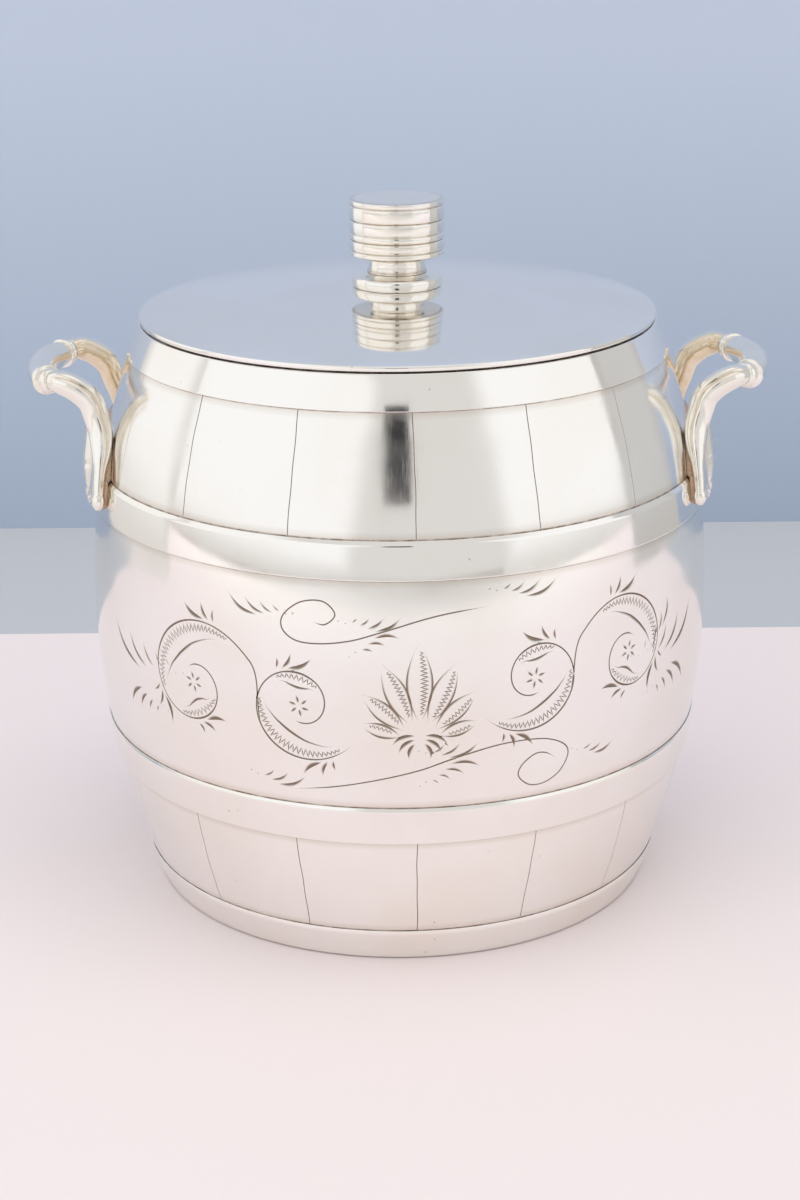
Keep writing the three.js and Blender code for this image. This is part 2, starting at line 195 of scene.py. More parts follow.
def grid_faces(rows, columns, wrap_rows=False, wrap_columns=True):
    """Four-cornered faces between the neighbours of a grid of points that is stored row by row."""
    row, column = np.meshgrid(
        np.arange(rows if wrap_rows else rows - 1),
        np.arange(columns if wrap_columns else columns - 1),
        indexing="ij",
    )
    here, above = row * columns, (row + 1) % rows * columns
    beside = (column + 1) % columns
    corners = (here + column, here + beside, above + beside, above + column)
    return np.stack(corners, axis=-1).reshape(-1, 4)


def halved(quads):
    """Each four-cornered face as two triangles."""
    return np.vstack([quads[:, [0, 1, 2]], quads[:, [0, 2, 3]]])


def skin(name, rings, middles):
    """A closed skin over rows of rings of points: triangles between the rings, and at each end a fan about a
    middle."""
    rows, sides = rings.shape[:2]
    k = np.arange(sides)
    beside = (k + 1) % sides
    middle, last_ring = 0 * k + rows * sides, (rows - 1) * sides
    first_fan = np.stack([middle, beside, k], axis=-1)
    last_fan = np.stack([middle + 1, last_ring + k, last_ring + beside], axis=-1)
    faces = np.vstack([halved(grid_faces(rows, sides)), first_fan, last_fan])
    return add_mesh(name, np.vstack([rings.reshape(-1, 3), middles]), faces)


def closed_up(piece):
    """Merges points that lie together, as at a pole, removes flat faces and turns all faces outwards."""
    mesh = piece.data
    work = bmesh.new()
    work.from_mesh(mesh)
    bmesh.ops.remove_doubles(work, verts=work.verts, dist=MERGE_DISTANCE)
    bmesh.ops.dissolve_degenerate(work, edges=work.edges, dist=FLAT_DISTANCE)
    bmesh.ops.recalc_face_normals(work, faces=work.faces)
    work.to_mesh(mesh)
    work.free()
    mesh.shade_smooth()
    return piece


def round_axis(radius, height, turn):
    """The points (r cos t, r sin t, z) for the radii and heights of a profile and the angles t."""
    return np.stack([radius * np.cos(turn), radius * np.sin(turn), height + 0 * turn], axis=-1)


def turned(name, profile, closes, edge=0.0, sides=TURNED_SIDES):
    """A solid of revolution: a profile point (r, z) goes round to (r cos t, r sin t, z) for t over a full
    turn. A profile that closes is a ring. Any other one starts and ends on the axis. Its corners are rounded
    by the edge."""
    if edge:
        profile = eased(profile, edge, closes)
    points = round_axis(profile[:, :1], profile[:, 1:], np.arange(sides) * FULL_TURN / sides)
    return closed_up(add_mesh(name, points.reshape(-1, 3), grid_faces(len(profile), sides, closes)))


def eased(profile, radius, closes):
    """Rounds each corner sharper than 12 degrees: a curve P + a (1 - t)^2 + b t^2 between the points a and b
    on its two sides, which lie the radius away or less where a side is short. A further point on each side
    keeps the flat beside the curve flat."""
    count = len(profile)
    share = np.linspace(0, 1, EASE_STEPS)[:, None]
    rows = []
    for i, corner in enumerate(profile):
        if not closes and i in (0, count - 1):
            rows.append(corner[None])
            continue
        back, ahead = profile[i - 1] - corner, profile[(i + 1) % count] - corner
        back_length, ahead_length = np.hypot(*back), np.hypot(*ahead)
        back, ahead = back / back_length, ahead / ahead_length
        if back @ ahead < -SHARP_COSINE:
            rows.append(corner[None])
            continue
        reach = min(radius, EASE_SHARE * back_length, EASE_SHARE * ahead_length)
        curve = corner + reach * (back * (1 - share) ** 2 + ahead * share ** 2)
        flat = FLAT_REACH * reach
        rows.append(np.vstack([corner + flat * back, curve, corner + flat * ahead]))
    return np.vstack(rows)


def mark(piece, name, values):
    """Stores one number for each point of a piece, for its material to read."""
    attribute = piece.data.attributes.new(name, "FLOAT", "POINT")
    attribute.data.foreach_set("value", np.asarray(values, np.float32))


def read(items, field, width=1, kind=np.int32):
    """One field of all the points, corners or faces of a mesh, as an array."""
    values = np.zeros(len(items) * width, kind)
    items.foreach_get(field, values)
    return values if width == 1 else values.reshape(-1, width)


def points_of(piece):
    """The points of a piece as an (n, 3) array."""
    return read(piece.data.vertices, "co", 3, np.float32).astype(float)


# The wall's form

def wall_radius(z):
    """Two circular arcs that meet upright at the belly: r = R - a + sqrt(a^2 - (z - belly)^2), where the
    radius a of each arc follows from its height and its bulge, a = (height^2 + bulge^2) / (2 bulge)."""
    z = np.asarray(z, float)
    span = np.where(z > BELLY_Z, RIM_Z - BELLY_Z, BELLY_Z)
    bulge = np.where(z > BELLY_Z, BELLY_RADIUS - MOUTH_RADIUS, BELLY_RADIUS - FOOT_RADIUS)
    arc = (span ** 2 + bulge ** 2) / (2 * bulge)
    return BELLY_RADIUS - arc + np.sqrt(arc ** 2 - (z - BELLY_Z) ** 2)


def hand_ripple(azimuth, z):
    """The slight unevenness that hammer and lathe leave: a sum of three waves that run round and up the
    wall, less the greatest value that it can have, so that the wall grows no wider."""
    waves, greatest = 0, 0
    for share, turns, rise, start in RIPPLE_WAVES:
        waves = waves + share * np.sin(turns * azimuth + rise * z / BELLY_RADIUS + start)
        greatest += share
    return RIPPLE * (waves - greatest)


def from_front(radius, azimuth, z):
    """The place at an angle from the middle of the front: x = r sin(azimuth), y = -r cos(azimuth)."""
    return np.stack([radius * np.sin(azimuth), -radius * np.cos(azimuth), z + 0 * azimuth], axis=-1)


def wall_point(azimuth, z):
    """A place on the wall: azimuth 0 is the middle of the front, and it grows to the right."""
    return from_front(wall_radius(z) + hand_ripple(azimuth, z), azimuth, z)


def beside_wall(y, z, out):
    """A place on the right of the barrel, out beyond the wall of radius r: x = sqrt(r^2 - y^2) + out."""
    return np.stack([np.sqrt(wall_radius(z) ** 2 - y ** 2) + out, y, z + 0 * y], axis=-1)


def unit(vectors):
    """The vectors at a length of one."""
    return vectors / np.linalg.norm(vectors, axis=-1, keepdims=True)


def cubic(first, leave, last, arrive, t):
    """The smooth stretch between two places that leaves and arrives along the given slopes:
    first + leave t + (3 (last - first) - 2 leave - arrive) t^2 + (2 (first - last) + leave + arrive) t^3."""
    bend = 3 * (last - first) - 2 * leave - arrive
    return first + leave * t + bend * t ** 2 + (2 * (first - last) + leave + arrive) * t ** 3


def run_on(knots):
    """The knots with one more beyond each end, straight on."""
    return np.vstack([2 * knots[0] - knots[1], knots, 2 * knots[-1] - knots[-2]])


def distances(line):
    """How far along a line each of its points lies."""
    return np.r_[0, np.cumsum(np.linalg.norm(np.diff(line, axis=0), axis=1))]


def between(places, knots, table):
    """The columns of a table at places between its knots, by straight runs."""
    return np.stack([np.interp(places, knots, column) for column in table.T], axis=-1)


def wall_normal(azimuth, z):
    """The outward direction: the cross product of the wall's slopes round and up, by small differences."""
    turn_step, rise_step = 1e-4, 1e-5
    around = wall_point(azimuth + turn_step, z) - wall_point(azimuth - turn_step, z)
    upward = wall_point(azimuth, z + rise_step) - wall_point(azimuth, z - rise_step)
    return unit(np.cross(around, upward))


# Engraving. A cut is its line, its half width and its depth along that line, and how far the bottom leans
# to one side. Lines lie on the unrolled belly: x along its widest ring, from the front joint of the staves to
# the right, and z up. The front joint lies a little right of the middle of the front. Lengths without MM are
# millimetres here.

HAIR_WIDTH = 0.2
HAIR_DEPTH = 0.13
STROKE_WIDTH = 0.15
STROKE_DEPTH = 0.11
RIM_WIDTH = 0.44
RIM_DEPTH = 0.16
LEAST_SHADED_GAP = 1.0
WRIGGLE_PITCH = 0.95
WRIGGLE_MARGIN = 0.16
WRIGGLE_END_MARGIN = 0.26
NICK_LENGTH = 0.8
NICK_DEPTH = 0.1
SHORT_CUT_STEPS = 5
LEAN = 0.72
PETAL_COUNT = 6
PETAL_LENGTH = 2.2
STEM_END_RADIUS = 3.5
STEM_STEPS = 84
LINK_STEPS = 24
CUT_END_SHARE = 0.12


def swelling(share):
    """Half a wave along a cut. Its ends don't fall to nothing, so that the cut stays a solid wedge."""
    return np.maximum(np.sin(math.pi * share), CUT_END_SHARE)


def curve_through(points, count):
    """A smooth line through points: on each stretch the cubic with the slopes (next - last) / 2."""
    knots = np.asarray(points, float)
    padded = run_on(knots)
    slope = (padded[2:] - padded[:-2]) / 2
    place = np.linspace(0, len(knots) - 1, count)
    i = np.minimum(place.astype(int), len(knots) - 2)
    return cubic(knots[i], slope[i], knots[i + 1], slope[i + 1], (place - i)[:, None])


def spiral(centre, radius, start, sweep):
    """A stem that winds in: its angle runs evenly from start over the sweep, in degrees, while its radius
    falls to the end radius of a stem along a slow-ending curve."""
    share = np.linspace(0, 1, STEM_STEPS)
    angle = np.radians(start + sweep * share)
    distance = radius + (STEM_END_RADIUS - radius) * share ** 0.8
    return centre + distance[:, None] * pairs(np.cos(angle), np.sin(angle))


def heading(degrees):
    """The unit vector of a direction on the unrolled wall, turned left from the x axis."""
    return np.array([math.cos(math.radians(degrees)), math.sin(math.radians(degrees))])


def hairline(line):
    """An even thin line that grows finer at both ends."""
    share = np.linspace(0, 1, len(line))
    swell = np.clip(np.minimum(share, 1 - share) / 0.06, CUT_END_SHARE, 1)
    return line, HAIR_WIDTH * swell, HAIR_DEPTH * swell, 0


def leaf_cut(start, end, bow, width, lean, count=13):
    """A bright cut: its line bows aside by a share of its length, and its width swells as sin(pi s^0.8)."""
    share = np.linspace(0, 1, count)[:, None]
    along = end - start
    aside = np.array([-along[1], along[0]])
    line = start + along * share + aside * bow * np.sin(math.pi * share)
    swell = swelling(share[:, 0] ** 0.8)
    return line, width * swell, (0.05 + 0.2 * width) * swell, lean


def nick(place, angle, width):
    """A small pecked mark, a short cut that starts wide and runs out."""
    share = np.linspace(0, 1, SHORT_CUT_STEPS)
    line = place + NICK_LENGTH * share[:, None] * heading(angle)
    swell = np.maximum(1 - share, CUT_END_SHARE)
    return line, width * swell, NICK_DEPTH * swell, 0


SPRIG_LENGTH_SHARES = (1, 0.7, 0.46, 0.28, 0.18)


def sprig(base, angle, length, spread, count, width=0.55, back=1.5, aside=1.05):
    """Leaf cuts that spring from one side of a line: each next one starts further back and further aside, is
    shorter and stands steeper, and two nicks trail behind. A negative spread puts them on the right side."""
    side = math.copysign(1, spread)
    along, across = heading(angle), side * heading(angle + 90)
    cuts = []
    for i, share in enumerate(SPRIG_LENGTH_SHARES[:count]):
        start = base - back * i * along + (0.5 + aside * i) * across
        end = start + length * share * heading(angle + spread * (1 + 0.4 * i))
        cuts.append(leaf_cut(start, end, -0.15 * side, width * (1 - 0.15 * i), LEAN * side))
    for i, nick_width in ((count, 0.28), (count + 1, 0.24)):
        place = base - back * i * along + (0.5 + 0.8 * aside * i) * across
        cuts.append(nick(place, angle + spread, nick_width))
    return cuts


def wriggle(inner, outer):
    """The zigzag shading of a band: short cuts that run to and fro between two lines."""
    steps = distances(outer)
    count = max(4, int(2 * steps[-1] / WRIGGLE_PITCH))
    spots = np.linspace(0, steps[-1], count + 1)
    inside, outside = (between(spots, steps, edge) for edge in (inner, outer))
    gap = np.linalg.norm(outside - inside, axis=1)
    share = np.linspace(0, 1, SHORT_CUT_STEPS)
    swell = swelling(0.12 + 0.76 * share)
    cuts = []
    for i in range(count):
        if min(gap[i], gap[i + 1]) < LEAST_SHADED_GAP:
            continue
        near, far = (inside, outside) if i % 2 else (outside, inside)
        start = near[i] + (far[i] - near[i]) * WRIGGLE_MARGIN
        end = far[i + 1] + (near[i + 1] - far[i + 1]) * WRIGGLE_END_MARGIN
        line = start + (end - start) * share[:, None]
        cuts.append((line, STROKE_WIDTH * swell, STROKE_DEPTH * swell, 0))
    return cuts


def shaded_band(line, width, side):
    """A swelling crescent against a stem: its edge stands off the stem by width sin(pi s)^0.75. Both edges
    are bright lines, and the space beside the stem is filled with wriggle work."""
    share = np.linspace(0, 1, len(line))
    slope = np.gradient(line, axis=0)
    aside = unit(pairs(-slope[:, 1], slope[:, 0]) * side)
    edge = line + aside * (width * np.sin(math.pi * share) ** 0.75)[:, None]
    swell = swelling(share)
    outlines = [
        (edge, RIM_WIDTH * swell, RIM_DEPTH * swell, -0.6 * side),
        (line, 0.8 * RIM_WIDTH * swell, 0.15 * swell, 0.6 * side),
    ]
    return outlines, wriggle(line, line + 0.68 * (edge - line))


def flower(centre):
    """A small flower of leaf cuts round a bare middle."""
    cuts = []
    for i in range(PETAL_COUNT):
        along = heading(360 / PETAL_COUNT * i + 17)
        cuts.append(leaf_cut(centre + 0.6 * along, centre + (0.6 + PETAL_LENGTH) * along, 0, 0.45, 0.5, 9))
    return cuts


def mirrored(cuts):
    """The same cuts on the other side of the middle of the front."""
    return [(line * np.array([-1, 1]), width, depth, -lean) for line, width, depth, lean in cuts]


def scroll_volute(centre, radius, start, sweep, bands, leaves):
    """One scroll of the running ornament: a stem that winds in to a flower, bands of wriggle work on its
    inner side, and pairs of leaves that spring outwards. Bands and leaves are given by shares of the stem."""
    stem = spiral(centre, radius, start, sweep)
    inward = 1 if sweep > 0 else -1
    cuts, shades = flower(centre), []
    for first, last, width in bands:
        part = curve_through(stem[int(STEM_STEPS * first):int(STEM_STEPS * last):5], 44)
        outline, work = shaded_band(part, width, inward)
        cuts += outline
        shades += work
    for share, length, tilt in leaves:
        i = int(STEM_STEPS * share)
        slope = stem[i + 1] - stem[i - 1]
        angle = math.degrees(math.atan2(slope[1], slope[0]))
        for k, (grow, turn) in enumerate(((1.0, tilt), (0.7, tilt + 34), (0.45, tilt + 62))):
            along = heading(angle - inward * turn)
            base = stem[i] - 1.3 * k * heading(angle) - 0.6 * inward * heading(angle + 90)
            tip = base + length * grow * along
            cuts.append(leaf_cut(base, tip, 0.14 * inward, 0.68 - 0.12 * k, -0.7 * inward))
    return stem, cuts, shades


def flowing_link(start, leave, end, arrive):
    """A cubic from one place to another that leaves and arrives along the given directions."""
    t = np.linspace(0, 1, LINK_STEPS)[:, None]
    pull = 0.9 * np.linalg.norm(end - start)
    return cubic(start, pull * leave, end, pull * arrive, t)


def running_scroll(near, far):
    """Two scrolls to the right of the middle. The near one's stem passes under it and winds in, and the far
    one's springs from that and passes over the top. Each is given by its centre's x and z and its radius."""
    near_stem, near_cuts, near_shades = scroll_volute(
        near[:2], near[2], 212, 436, ((0.02, 0.4, 0.36 * near[2]), (0.44, 0.72, 0.24 * near[2])),
        ((0.09, 6.4, 26), (0.5, 7.0, 20)),
    )
    far_stem, far_cuts, far_shades = scroll_volute(
        far[:2], far[2], 152, -452, ((0.04, 0.42, 0.36 * far[2]), (0.46, 0.74, 0.26 * far[2])),
        ((0.11, 7.6, 24), (0.4, 7.8, 24), (0.58, 6.4, 24)),
    )
    joint = int(0.26 * STEM_STEPS)
    leave = unit(near_stem[joint + 1] - near_stem[joint])
    arrive = unit(far_stem[1] - far_stem[0])
    link = flowing_link(near_stem[joint], leave, far_stem[0], arrive)
    stems = [hairline(near_stem), hairline(np.vstack([link[:-1], far_stem]))]
    return stems, near_cuts + far_cuts, near_shades + far_shades


def palmette(base, height):
    """The middle of the front: seven petals that fan out from one root, each outlined by two bowed cuts and
    shaded with wriggle work on one side, over a small cup of leaf cuts."""
    outlines, shades = [], []
    for tilt in (-72, -48, -24, 0, 24, 48, 72):
        reach = height * (1 - 0.0056 * abs(tilt))
        along = heading(90 + tilt)
        root, tip = base + 4.4 * along, base + reach * along
        left = leaf_cut(root, tip, 0.14, RIM_WIDTH, 0.6)
        right = leaf_cut(root, tip, -0.14, RIM_WIDTH, -0.6)
        outlines += [left, right]
        middle = (left[0] + right[0]) / 2
        shades += wriggle(middle + 0.2 * (left[0] - middle), right[0])
    for side in (-1, 1):
        for k, (x, z) in enumerate(((6.4, -1.2), (4.8, -3.2), (2.2, -4.6))):
            start = base + np.array([0.9 * side, 1.4 - 0.9 * k])
            outlines.append(leaf_cut(start, base + np.array([x * side, z]), 0.16 * side, 0.6, 0.7 * side))
    return outlines, shades


# Lines of the two long tendrils, from the curl outwards, on the unrolled belly in millimetres
UPPER_TENDRIL = (
    (-23.2, 87.4), (-20.3, 87.0), (-18.1, 89.4), (-20.9, 92.1), (-26.0, 91.6), (-30.0, 88.4), (-30.2, 85.2),
    (-27.0, 82.9), (-21.5, 82.6), (-14.7, 83.6), (-8.1, 85.6), (0.5, 88.2), (7.2, 89.6), (16.2, 90.6),
)
LOWER_TENDRIL = (
    (33.2, 52.0), (30.0, 54.0), (27.2, 54.1), (24.2, 51.9), (23.5, 49.2), (26.5, 46.5), (30.5, 46.4),
    (34.3, 48.6), (36.2, 52.6), (34.3, 55.6), (28.3, 57.8), (18.6, 57.9), (8.2, 55.6), (0.4, 53.0),
    (-10.8, 50.2), (-20.2, 48.2), (-31.0, 46.6),
)
# The scrolls on the right and on the left of the front: the x and z of the centre, and the radius
RIGHT_SCROLLS = ((26.8, 72.8, 14.4), (53.2, 73.6, 16.0))
LEFT_SCROLLS = ((26.6, 67.6, 15.0), (54.0, 68.6, 17.6))
PALMETTE_ROOT = (0.4, 60.0)
PALMETTE_HEIGHT = 23.5
# Sprigs: the base, the angle, the length, the spread and the count, then the width and the steps back and
# aside where they aren't the usual ones
SPRIGS = (
    ((-9.0, 85.4), 16, 6.6, 14, 4), ((-9.8, 84.8), 10, 6.4, -12, 3), ((6.6, 55.2), 12, 8.6, 16, 3),
    ((7.0, 54.8), 8, 8.0, -20, 4), ((-33.0, 46.9), 8, 8.6, 16, 3), ((-36.2, 87.0), 160, 9.6, -10, 4),
    ((24.4, 91.2), 12, 9.6, 10, 4), ((43.4, 50.2), 6, 7.2, 12, 3),
    ((70.0, 68.0), 24, 17.0, 20, 5, 0.8, 2.2, 2.0), ((71.0, 66.0), -20, 11.0, -22, 4, 0.75, 1.6, 1.8),
    ((66.4, 75.2), 62, 8.6, 12, 3, 0.6),
)
LEFT_SPRIGS = (
    ((73.2, 66.0), 24, 17.5, 18, 5, 0.7, 2.2, 2.0), ((73.6, 62.6), -24, 9.0, -22, 4, 0.7, 1.6, 1.7),
)


def belly_engraving():
    """The cuts of the belly in three lists: stems, leaves and shading."""
    stems = [hairline(curve_through(UPPER_TENDRIL, 90)), hairline(curve_through(LOWER_TENDRIL, 100))]
    leaves, shades = palmette(PALMETTE_ROOT, PALMETTE_HEIGHT)
    for scrolls, place in ((RIGHT_SCROLLS, list), (LEFT_SCROLLS, mirrored)):
        scroll_stems, scroll_leaves, scroll_shades = running_scroll(*scrolls)
        stems += place(scroll_stems)
        leaves += place(scroll_leaves)
        shades += place(scroll_shades)
    for rows, place in ((SPRIGS, list), (LEFT_SPRIGS, mirrored)):
        for row in rows:
            leaves += place(sprig(*row))
    return stems, leaves, shades


JOINT_WIDTH = 0.13
JOINT_DEPTH = 0.1
JOINT_LEAN = 0.25
JOINT_STEPS = 22
JOINT_OVERRUN = 0.4 * MM
TOOL_RISE = 0.02 * MM


def stave_lines():
    """The joints between the staves, one cut per joint in each of the two staved zones. Each wavers a
    little from the upright by a slow sine of its own phase."""
    cuts = []
    zones = ((HOOP_SPANS["foot_hoop"][1], HOOP_SPANS["lower_hoop"][0]),
             (HOOP_SPANS["upper_hoop"][1], HOOP_SPANS["top_hoop"][0]))
    for zone, (low, high) in enumerate(zones):
        z = np.linspace(low - JOINT_OVERRUN, high + JOINT_OVERRUN, JOINT_STEPS) / MM
        even = np.ones(JOINT_STEPS)
        for i in range(STAVE_COUNT):
            waver = 0.16 * np.sin(0.17 * z + 2.4 * i + zone) + 0.05 * np.sin(0.61 * z + 1.7 * i)
            x = FULL_TURN * BELLY_RADIUS / MM * i / STAVE_COUNT + waver
            cuts.append((pairs(x, z), JOINT_WIDTH * even, JOINT_DEPTH * even, JOINT_LEAN))
    return cuts


def cutting_tool(name, cuts):
    """One mesh of closed wedges, one for each cut. A wedge's section is a triangle: its lowest corner lies
    at the cut's depth, and its sides pass through the wall's face at the cut's half width on their way up."""
    points, faces, count = [], [], 0
    for line, half_width, depth, lean in cuts:
        azimuth, z = FRONT_JOINT_TURN + line[:, 0] * MM / BELLY_RADIUS, line[:, 1] * MM
        centre, normal = wall_point(azimuth, z), wall_normal(azimuth, z)
        side = unit(np.cross(normal, np.gradient(centre, axis=0)))
        width, deep = (half_width * MM)[:, None], (depth * MM)[:, None]
        rise = 0.5 * deep + TOOL_RISE
        lowest = lean * width
        left = centre + side * (width + (width - lowest) * rise / deep) + normal * rise
        right = centre - side * (width + (width + lowest) * rise / deep) + normal * rise
        bottom = centre + side * lowest - normal * deep
        size = len(line)
        points.append(np.stack([left, bottom, right], axis=1).reshape(-1, 3))
        ends = np.array([[0, 2, 1], [3 * size - 3, 3 * size - 2, 3 * size - 1]])
        faces.append(np.vstack([halved(grid_faces(size, 3)), ends]) + count)
        count += 3 * size
    return closed_up(add_mesh(name, np.vstack(points), np.vstack(faces)))


def engrave(piece, tools):
    """Cuts the tools out of a piece for good. Faces that a tool leaves carry the tool's material."""
    for tool in tools:
        cut = piece.modifiers.new(tool.name, "BOOLEAN")
        cut.operation = "DIFFERENCE"
        cut.solver = "MANIFOLD"
        cut.material_mode = "TRANSFER"
        cut.object = tool
    bpy.context.view_layer.update()
    seen = piece.evaluated_get(bpy.context.evaluated_depsgraph_get())
    mesh = bpy.data.meshes.new_from_object(seen)
    piece.modifiers.clear()
    piece.data = mesh
    for tool in tools:
        bpy.data.objects.remove(tool)


DEEPEST_MARK = 0.4
FACE_TOLERANCE = 0.03 * MM
END_TOLERANCE = 0.01 * MM


def smooth_wall(piece):
    """Gives every corner of the outer face the exact direction of the wall's form, so that the polish
    runs evenly between the cuts, keeps the cuts' own facets, and marks each point with its depth."""
    mesh = piece.data
    places = points_of(piece)
    z = places[:, 2]
    azimuth = np.arctan2(places[:, 0], -places[:, 1])
    outer = wall_radius(np.clip(z, FOOT_Z, RIM_Z)) + hand_ripple(azimuth, z)
    depth = outer - np.hypot(places[:, 0], places[:, 1])
    mark(piece, "cut_depth", np.clip(depth / MM, 0, DEEPEST_MARK))
    corner_point = read(mesh.loops, "vertex_index")
    slot = read(mesh.polygons, "material_index")
    corner_slot = np.repeat(slot, read(mesh.polygons, "loop_total"))
    mesh.polygons.foreach_set("use_smooth", slot == 0)
    mesh.update()
    normals = read(mesh.corner_normals, "vector", 3, np.float32)
    exact = wall_normal(azimuth, np.clip(z, FOOT_Z + END_TOLERANCE, RIM_Z - END_TOLERANCE))
    is_face = (depth < FACE_TOLERANCE) & (np.abs(z - RIM_Z) > END_TOLERANCE) & (z > END_TOLERANCE)
    chosen = (corner_slot == 0) & is_face[corner_point]
    normals[chosen] = exact[corner_point][chosen]
    mesh.normals_split_custom_set(normals.tolist())


def barrel_wall():
    """The raised body: its outer face is the wall's form on a grid of azimuth and height, and the profile
    goes on over the rim, down the inside and along the turned-in foot."""
    turn = np.arange(WALL_COLUMNS) * FULL_TURN / WALL_COLUMNS
    heights = np.linspace(FOOT_Z, RIM_Z, WALL_ROWS)
    inner_heights = np.linspace(RIM_Z, FLANGE_THICKNESS, INNER_ROWS)
    flange = FOOT_RADIUS - FLANGE_WIDTH
    profile = np.vstack([
        pairs(wall_radius(inner_heights) - WALL_THICKNESS, inner_heights),
        [[flange, FLANGE_THICKNESS], [flange, FOOT_Z]],
    ])
    outside = wall_point(turn[None, :], heights[:, None])
    points = np.vstack([outside, from_front(profile[:, :1], turn, profile[:, 1:])])
    faces = grid_faces(len(points), WALL_COLUMNS, wrap_rows=True)
    return closed_up(add_mesh("engraved_wall", points.reshape(-1, 3), faces))


# Hoops and flat rings

def hoop(name):
    """A band bent round the wall: it stands off the wall's form by its thickness, and slopes down to a thin
    lip at its upper edge, but not at the rim."""
    low, high = HOOP_SPANS[name]
    z = np.r_[low, np.linspace(low + HOOP_SLOPE, high - HOOP_SLOPE, 9), high]
    stand = np.full(len(z), HOOP_STAND)
    if high < RIM_Z - HOOP_SLOPE:
        stand[-1] = HOOP_LIP
    inside = pairs(wall_radius(z) - HOOP_SINK, z)
    outside = pairs(wall_radius(z) + stand, z)
    return turned(f"{name}_band", np.vstack([outside, inside[::-1]]), True, HOOP_EASE)


def flat_ring(name, node, hole, edge, sides=TURNED_SIDES):
    """A flat round plate with eased edges, in the space of its node. It has a hole if that isn't nothing."""
    low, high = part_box(node)
    profile = np.array([[hole, low.z], [high.y, low.z], [high.y, high.z], [hole, high.z]])
    return turned(name, profile, hole > 0, edge, sides)


# Lid and knob

def lid_height(radius):
    """The dome's upper face, part of a ball: z = edge + rise - R + sqrt(R^2 - r^2)."""
    ball = (LID_RADIUS ** 2 + LID_RISE ** 2) / (2 * LID_RISE)
    return LID_EDGE_Z + LID_EDGE_THICKNESS + LID_RISE - ball + np.sqrt(ball ** 2 - radius ** 2)


# Corners of the lid's edge in millimetres, outwards and upwards from its upper and from its lower corner
LID_UPPER_EDGE = ((-0.42, 0.02), (-0.16, -0.1), (0, -0.4))
LID_LOWER_EDGE = ((0, 0.4), (-0.12, 0.12), (-0.4, 0))


def lid_plate():
    """The dome with its thick edge: the upper face out to the edge, round it, and back along the
    underside."""
    land = LID_RADIUS - LID_LAND
    upper = np.linspace(STUD_HOLE, LID_RADIUS - LID_ROUNDING, UPPER_STEPS)
    lower = np.linspace(land, STUD_HOLE, LOWER_STEPS)[1:]
    profile = np.vstack([
        pairs(upper, lid_height(upper)),
        np.array(LID_UPPER_EDGE) * MM + [LID_RADIUS, LID_EDGE_Z + LID_EDGE_THICKNESS],
        np.array(LID_LOWER_EDGE) * MM + [LID_RADIUS, LID_EDGE_Z],
        [[land, LID_EDGE_Z]],
        pairs(lower, lid_height(lower) - LID_THICKNESS),
    ])
    return turned("lid_dome", profile, True, FINE_EDGE)


def lid_bezel():
    """The ring that drops into the mouth, with a tapered lower edge."""
    low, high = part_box("lid_bezel")
    outer, inner = high.y, high.y - BEZEL_THICKNESS
    profile = np.array([
        [inner, low.z], [outer - 0.5 * BEZEL_THICKNESS, low.z], [outer, low.z + BEZEL_THICKNESS],
        [outer, high.z], [inner, high.z],
    ])
    return turned("lid_ring", profile, True, SOFT_EDGE)


# The drum's grooves from the bottom up: shares of its height and of its radius
DRUM_GROOVE_SHARES = ((0.14, 0.026), (0.32, 0.034), (0.44, 0.026), (0.66, 0.032), (0.91, 0.026))
DRUM_FOOT_SHARES = ((0, 0.8), (0.015, 0.9), (0.04, 0.95))
# Darkening in the knob's grooves and at the neck's foot: patina and painted shade
SIDE_DEPTH = 0.9 * MM
CLEAN_DEPTH = 0.14 * MM
STAIN_AND_SHADE_DEPTH = 0.3 * MM
NECK_STAIN_AND_SHADE_HEIGHT = 1.1 * MM
NECK_STAIN_AND_SHADE_FADE = 0.5 * MM
DRUM_ARCH_SHARE = 0.014
GROOVE_WIDTH_SHARE = 0.011
# Corners of the neck in millimetres, outwards from its radius and upwards from its foot and from its top
NECK_FOOT_CORNERS = ((0.3, 0), (0.25, 0.3), (0, 0.7), (-0.15, 1.6))
NECK_TOP_CORNERS = ((-0.1, -0.7), (0.4, -0.1))


def groove_mark(piece, full_radius):
    """Marks how far each point of a turned side lies under its full radius, and the foot of the neck, for
    patina that also stands for painted shade in the grooves and under the drum. Faces that lie far inside,
    such as a crown, stay bright."""
    places = points_of(piece)
    under = full_radius - np.hypot(places[:, 0], places[:, 1])
    grooves = np.where(under < SIDE_DEPTH, np.clip((under - CLEAN_DEPTH) / STAIN_AND_SHADE_DEPTH, 0, 1), 0)
    neck = np.clip((KNOB_LOW.z + NECK_STAIN_AND_SHADE_HEIGHT - places[:, 2]) / NECK_STAIN_AND_SHADE_FADE, 0, 1)
    mark(piece, "recess", np.maximum(grooves, neck))
    return piece


def drum_side(height, radius):
    """The drum's side as heights and radii: a wide band between each two grooves, arched by a sine, and each
    groove a narrow bell curve."""
    grooves = np.array(DRUM_GROOVE_SHARES)
    share = np.linspace(0.06, 1, 84)
    edges = np.r_[0.03, grooves[:, 0], 1.02]
    band = np.clip(np.searchsorted(edges, share) - 1, 0, len(edges) - 2)
    place = (share - edges[band]) / (edges[band + 1] - edges[band])
    arch = DRUM_ARCH_SHARE * (1 - np.sin(math.pi * np.clip(place, 0, 1)) ** 0.4)
    bells = np.exp(-((share[:, None] - grooves[:, 0]) / GROOVE_WIDTH_SHARE) ** 2) @ grooves[:, 1]
    side = np.vstack([DRUM_FOOT_SHARES, pairs(share, 1 - arch - bells)])
    return side * [height, radius]


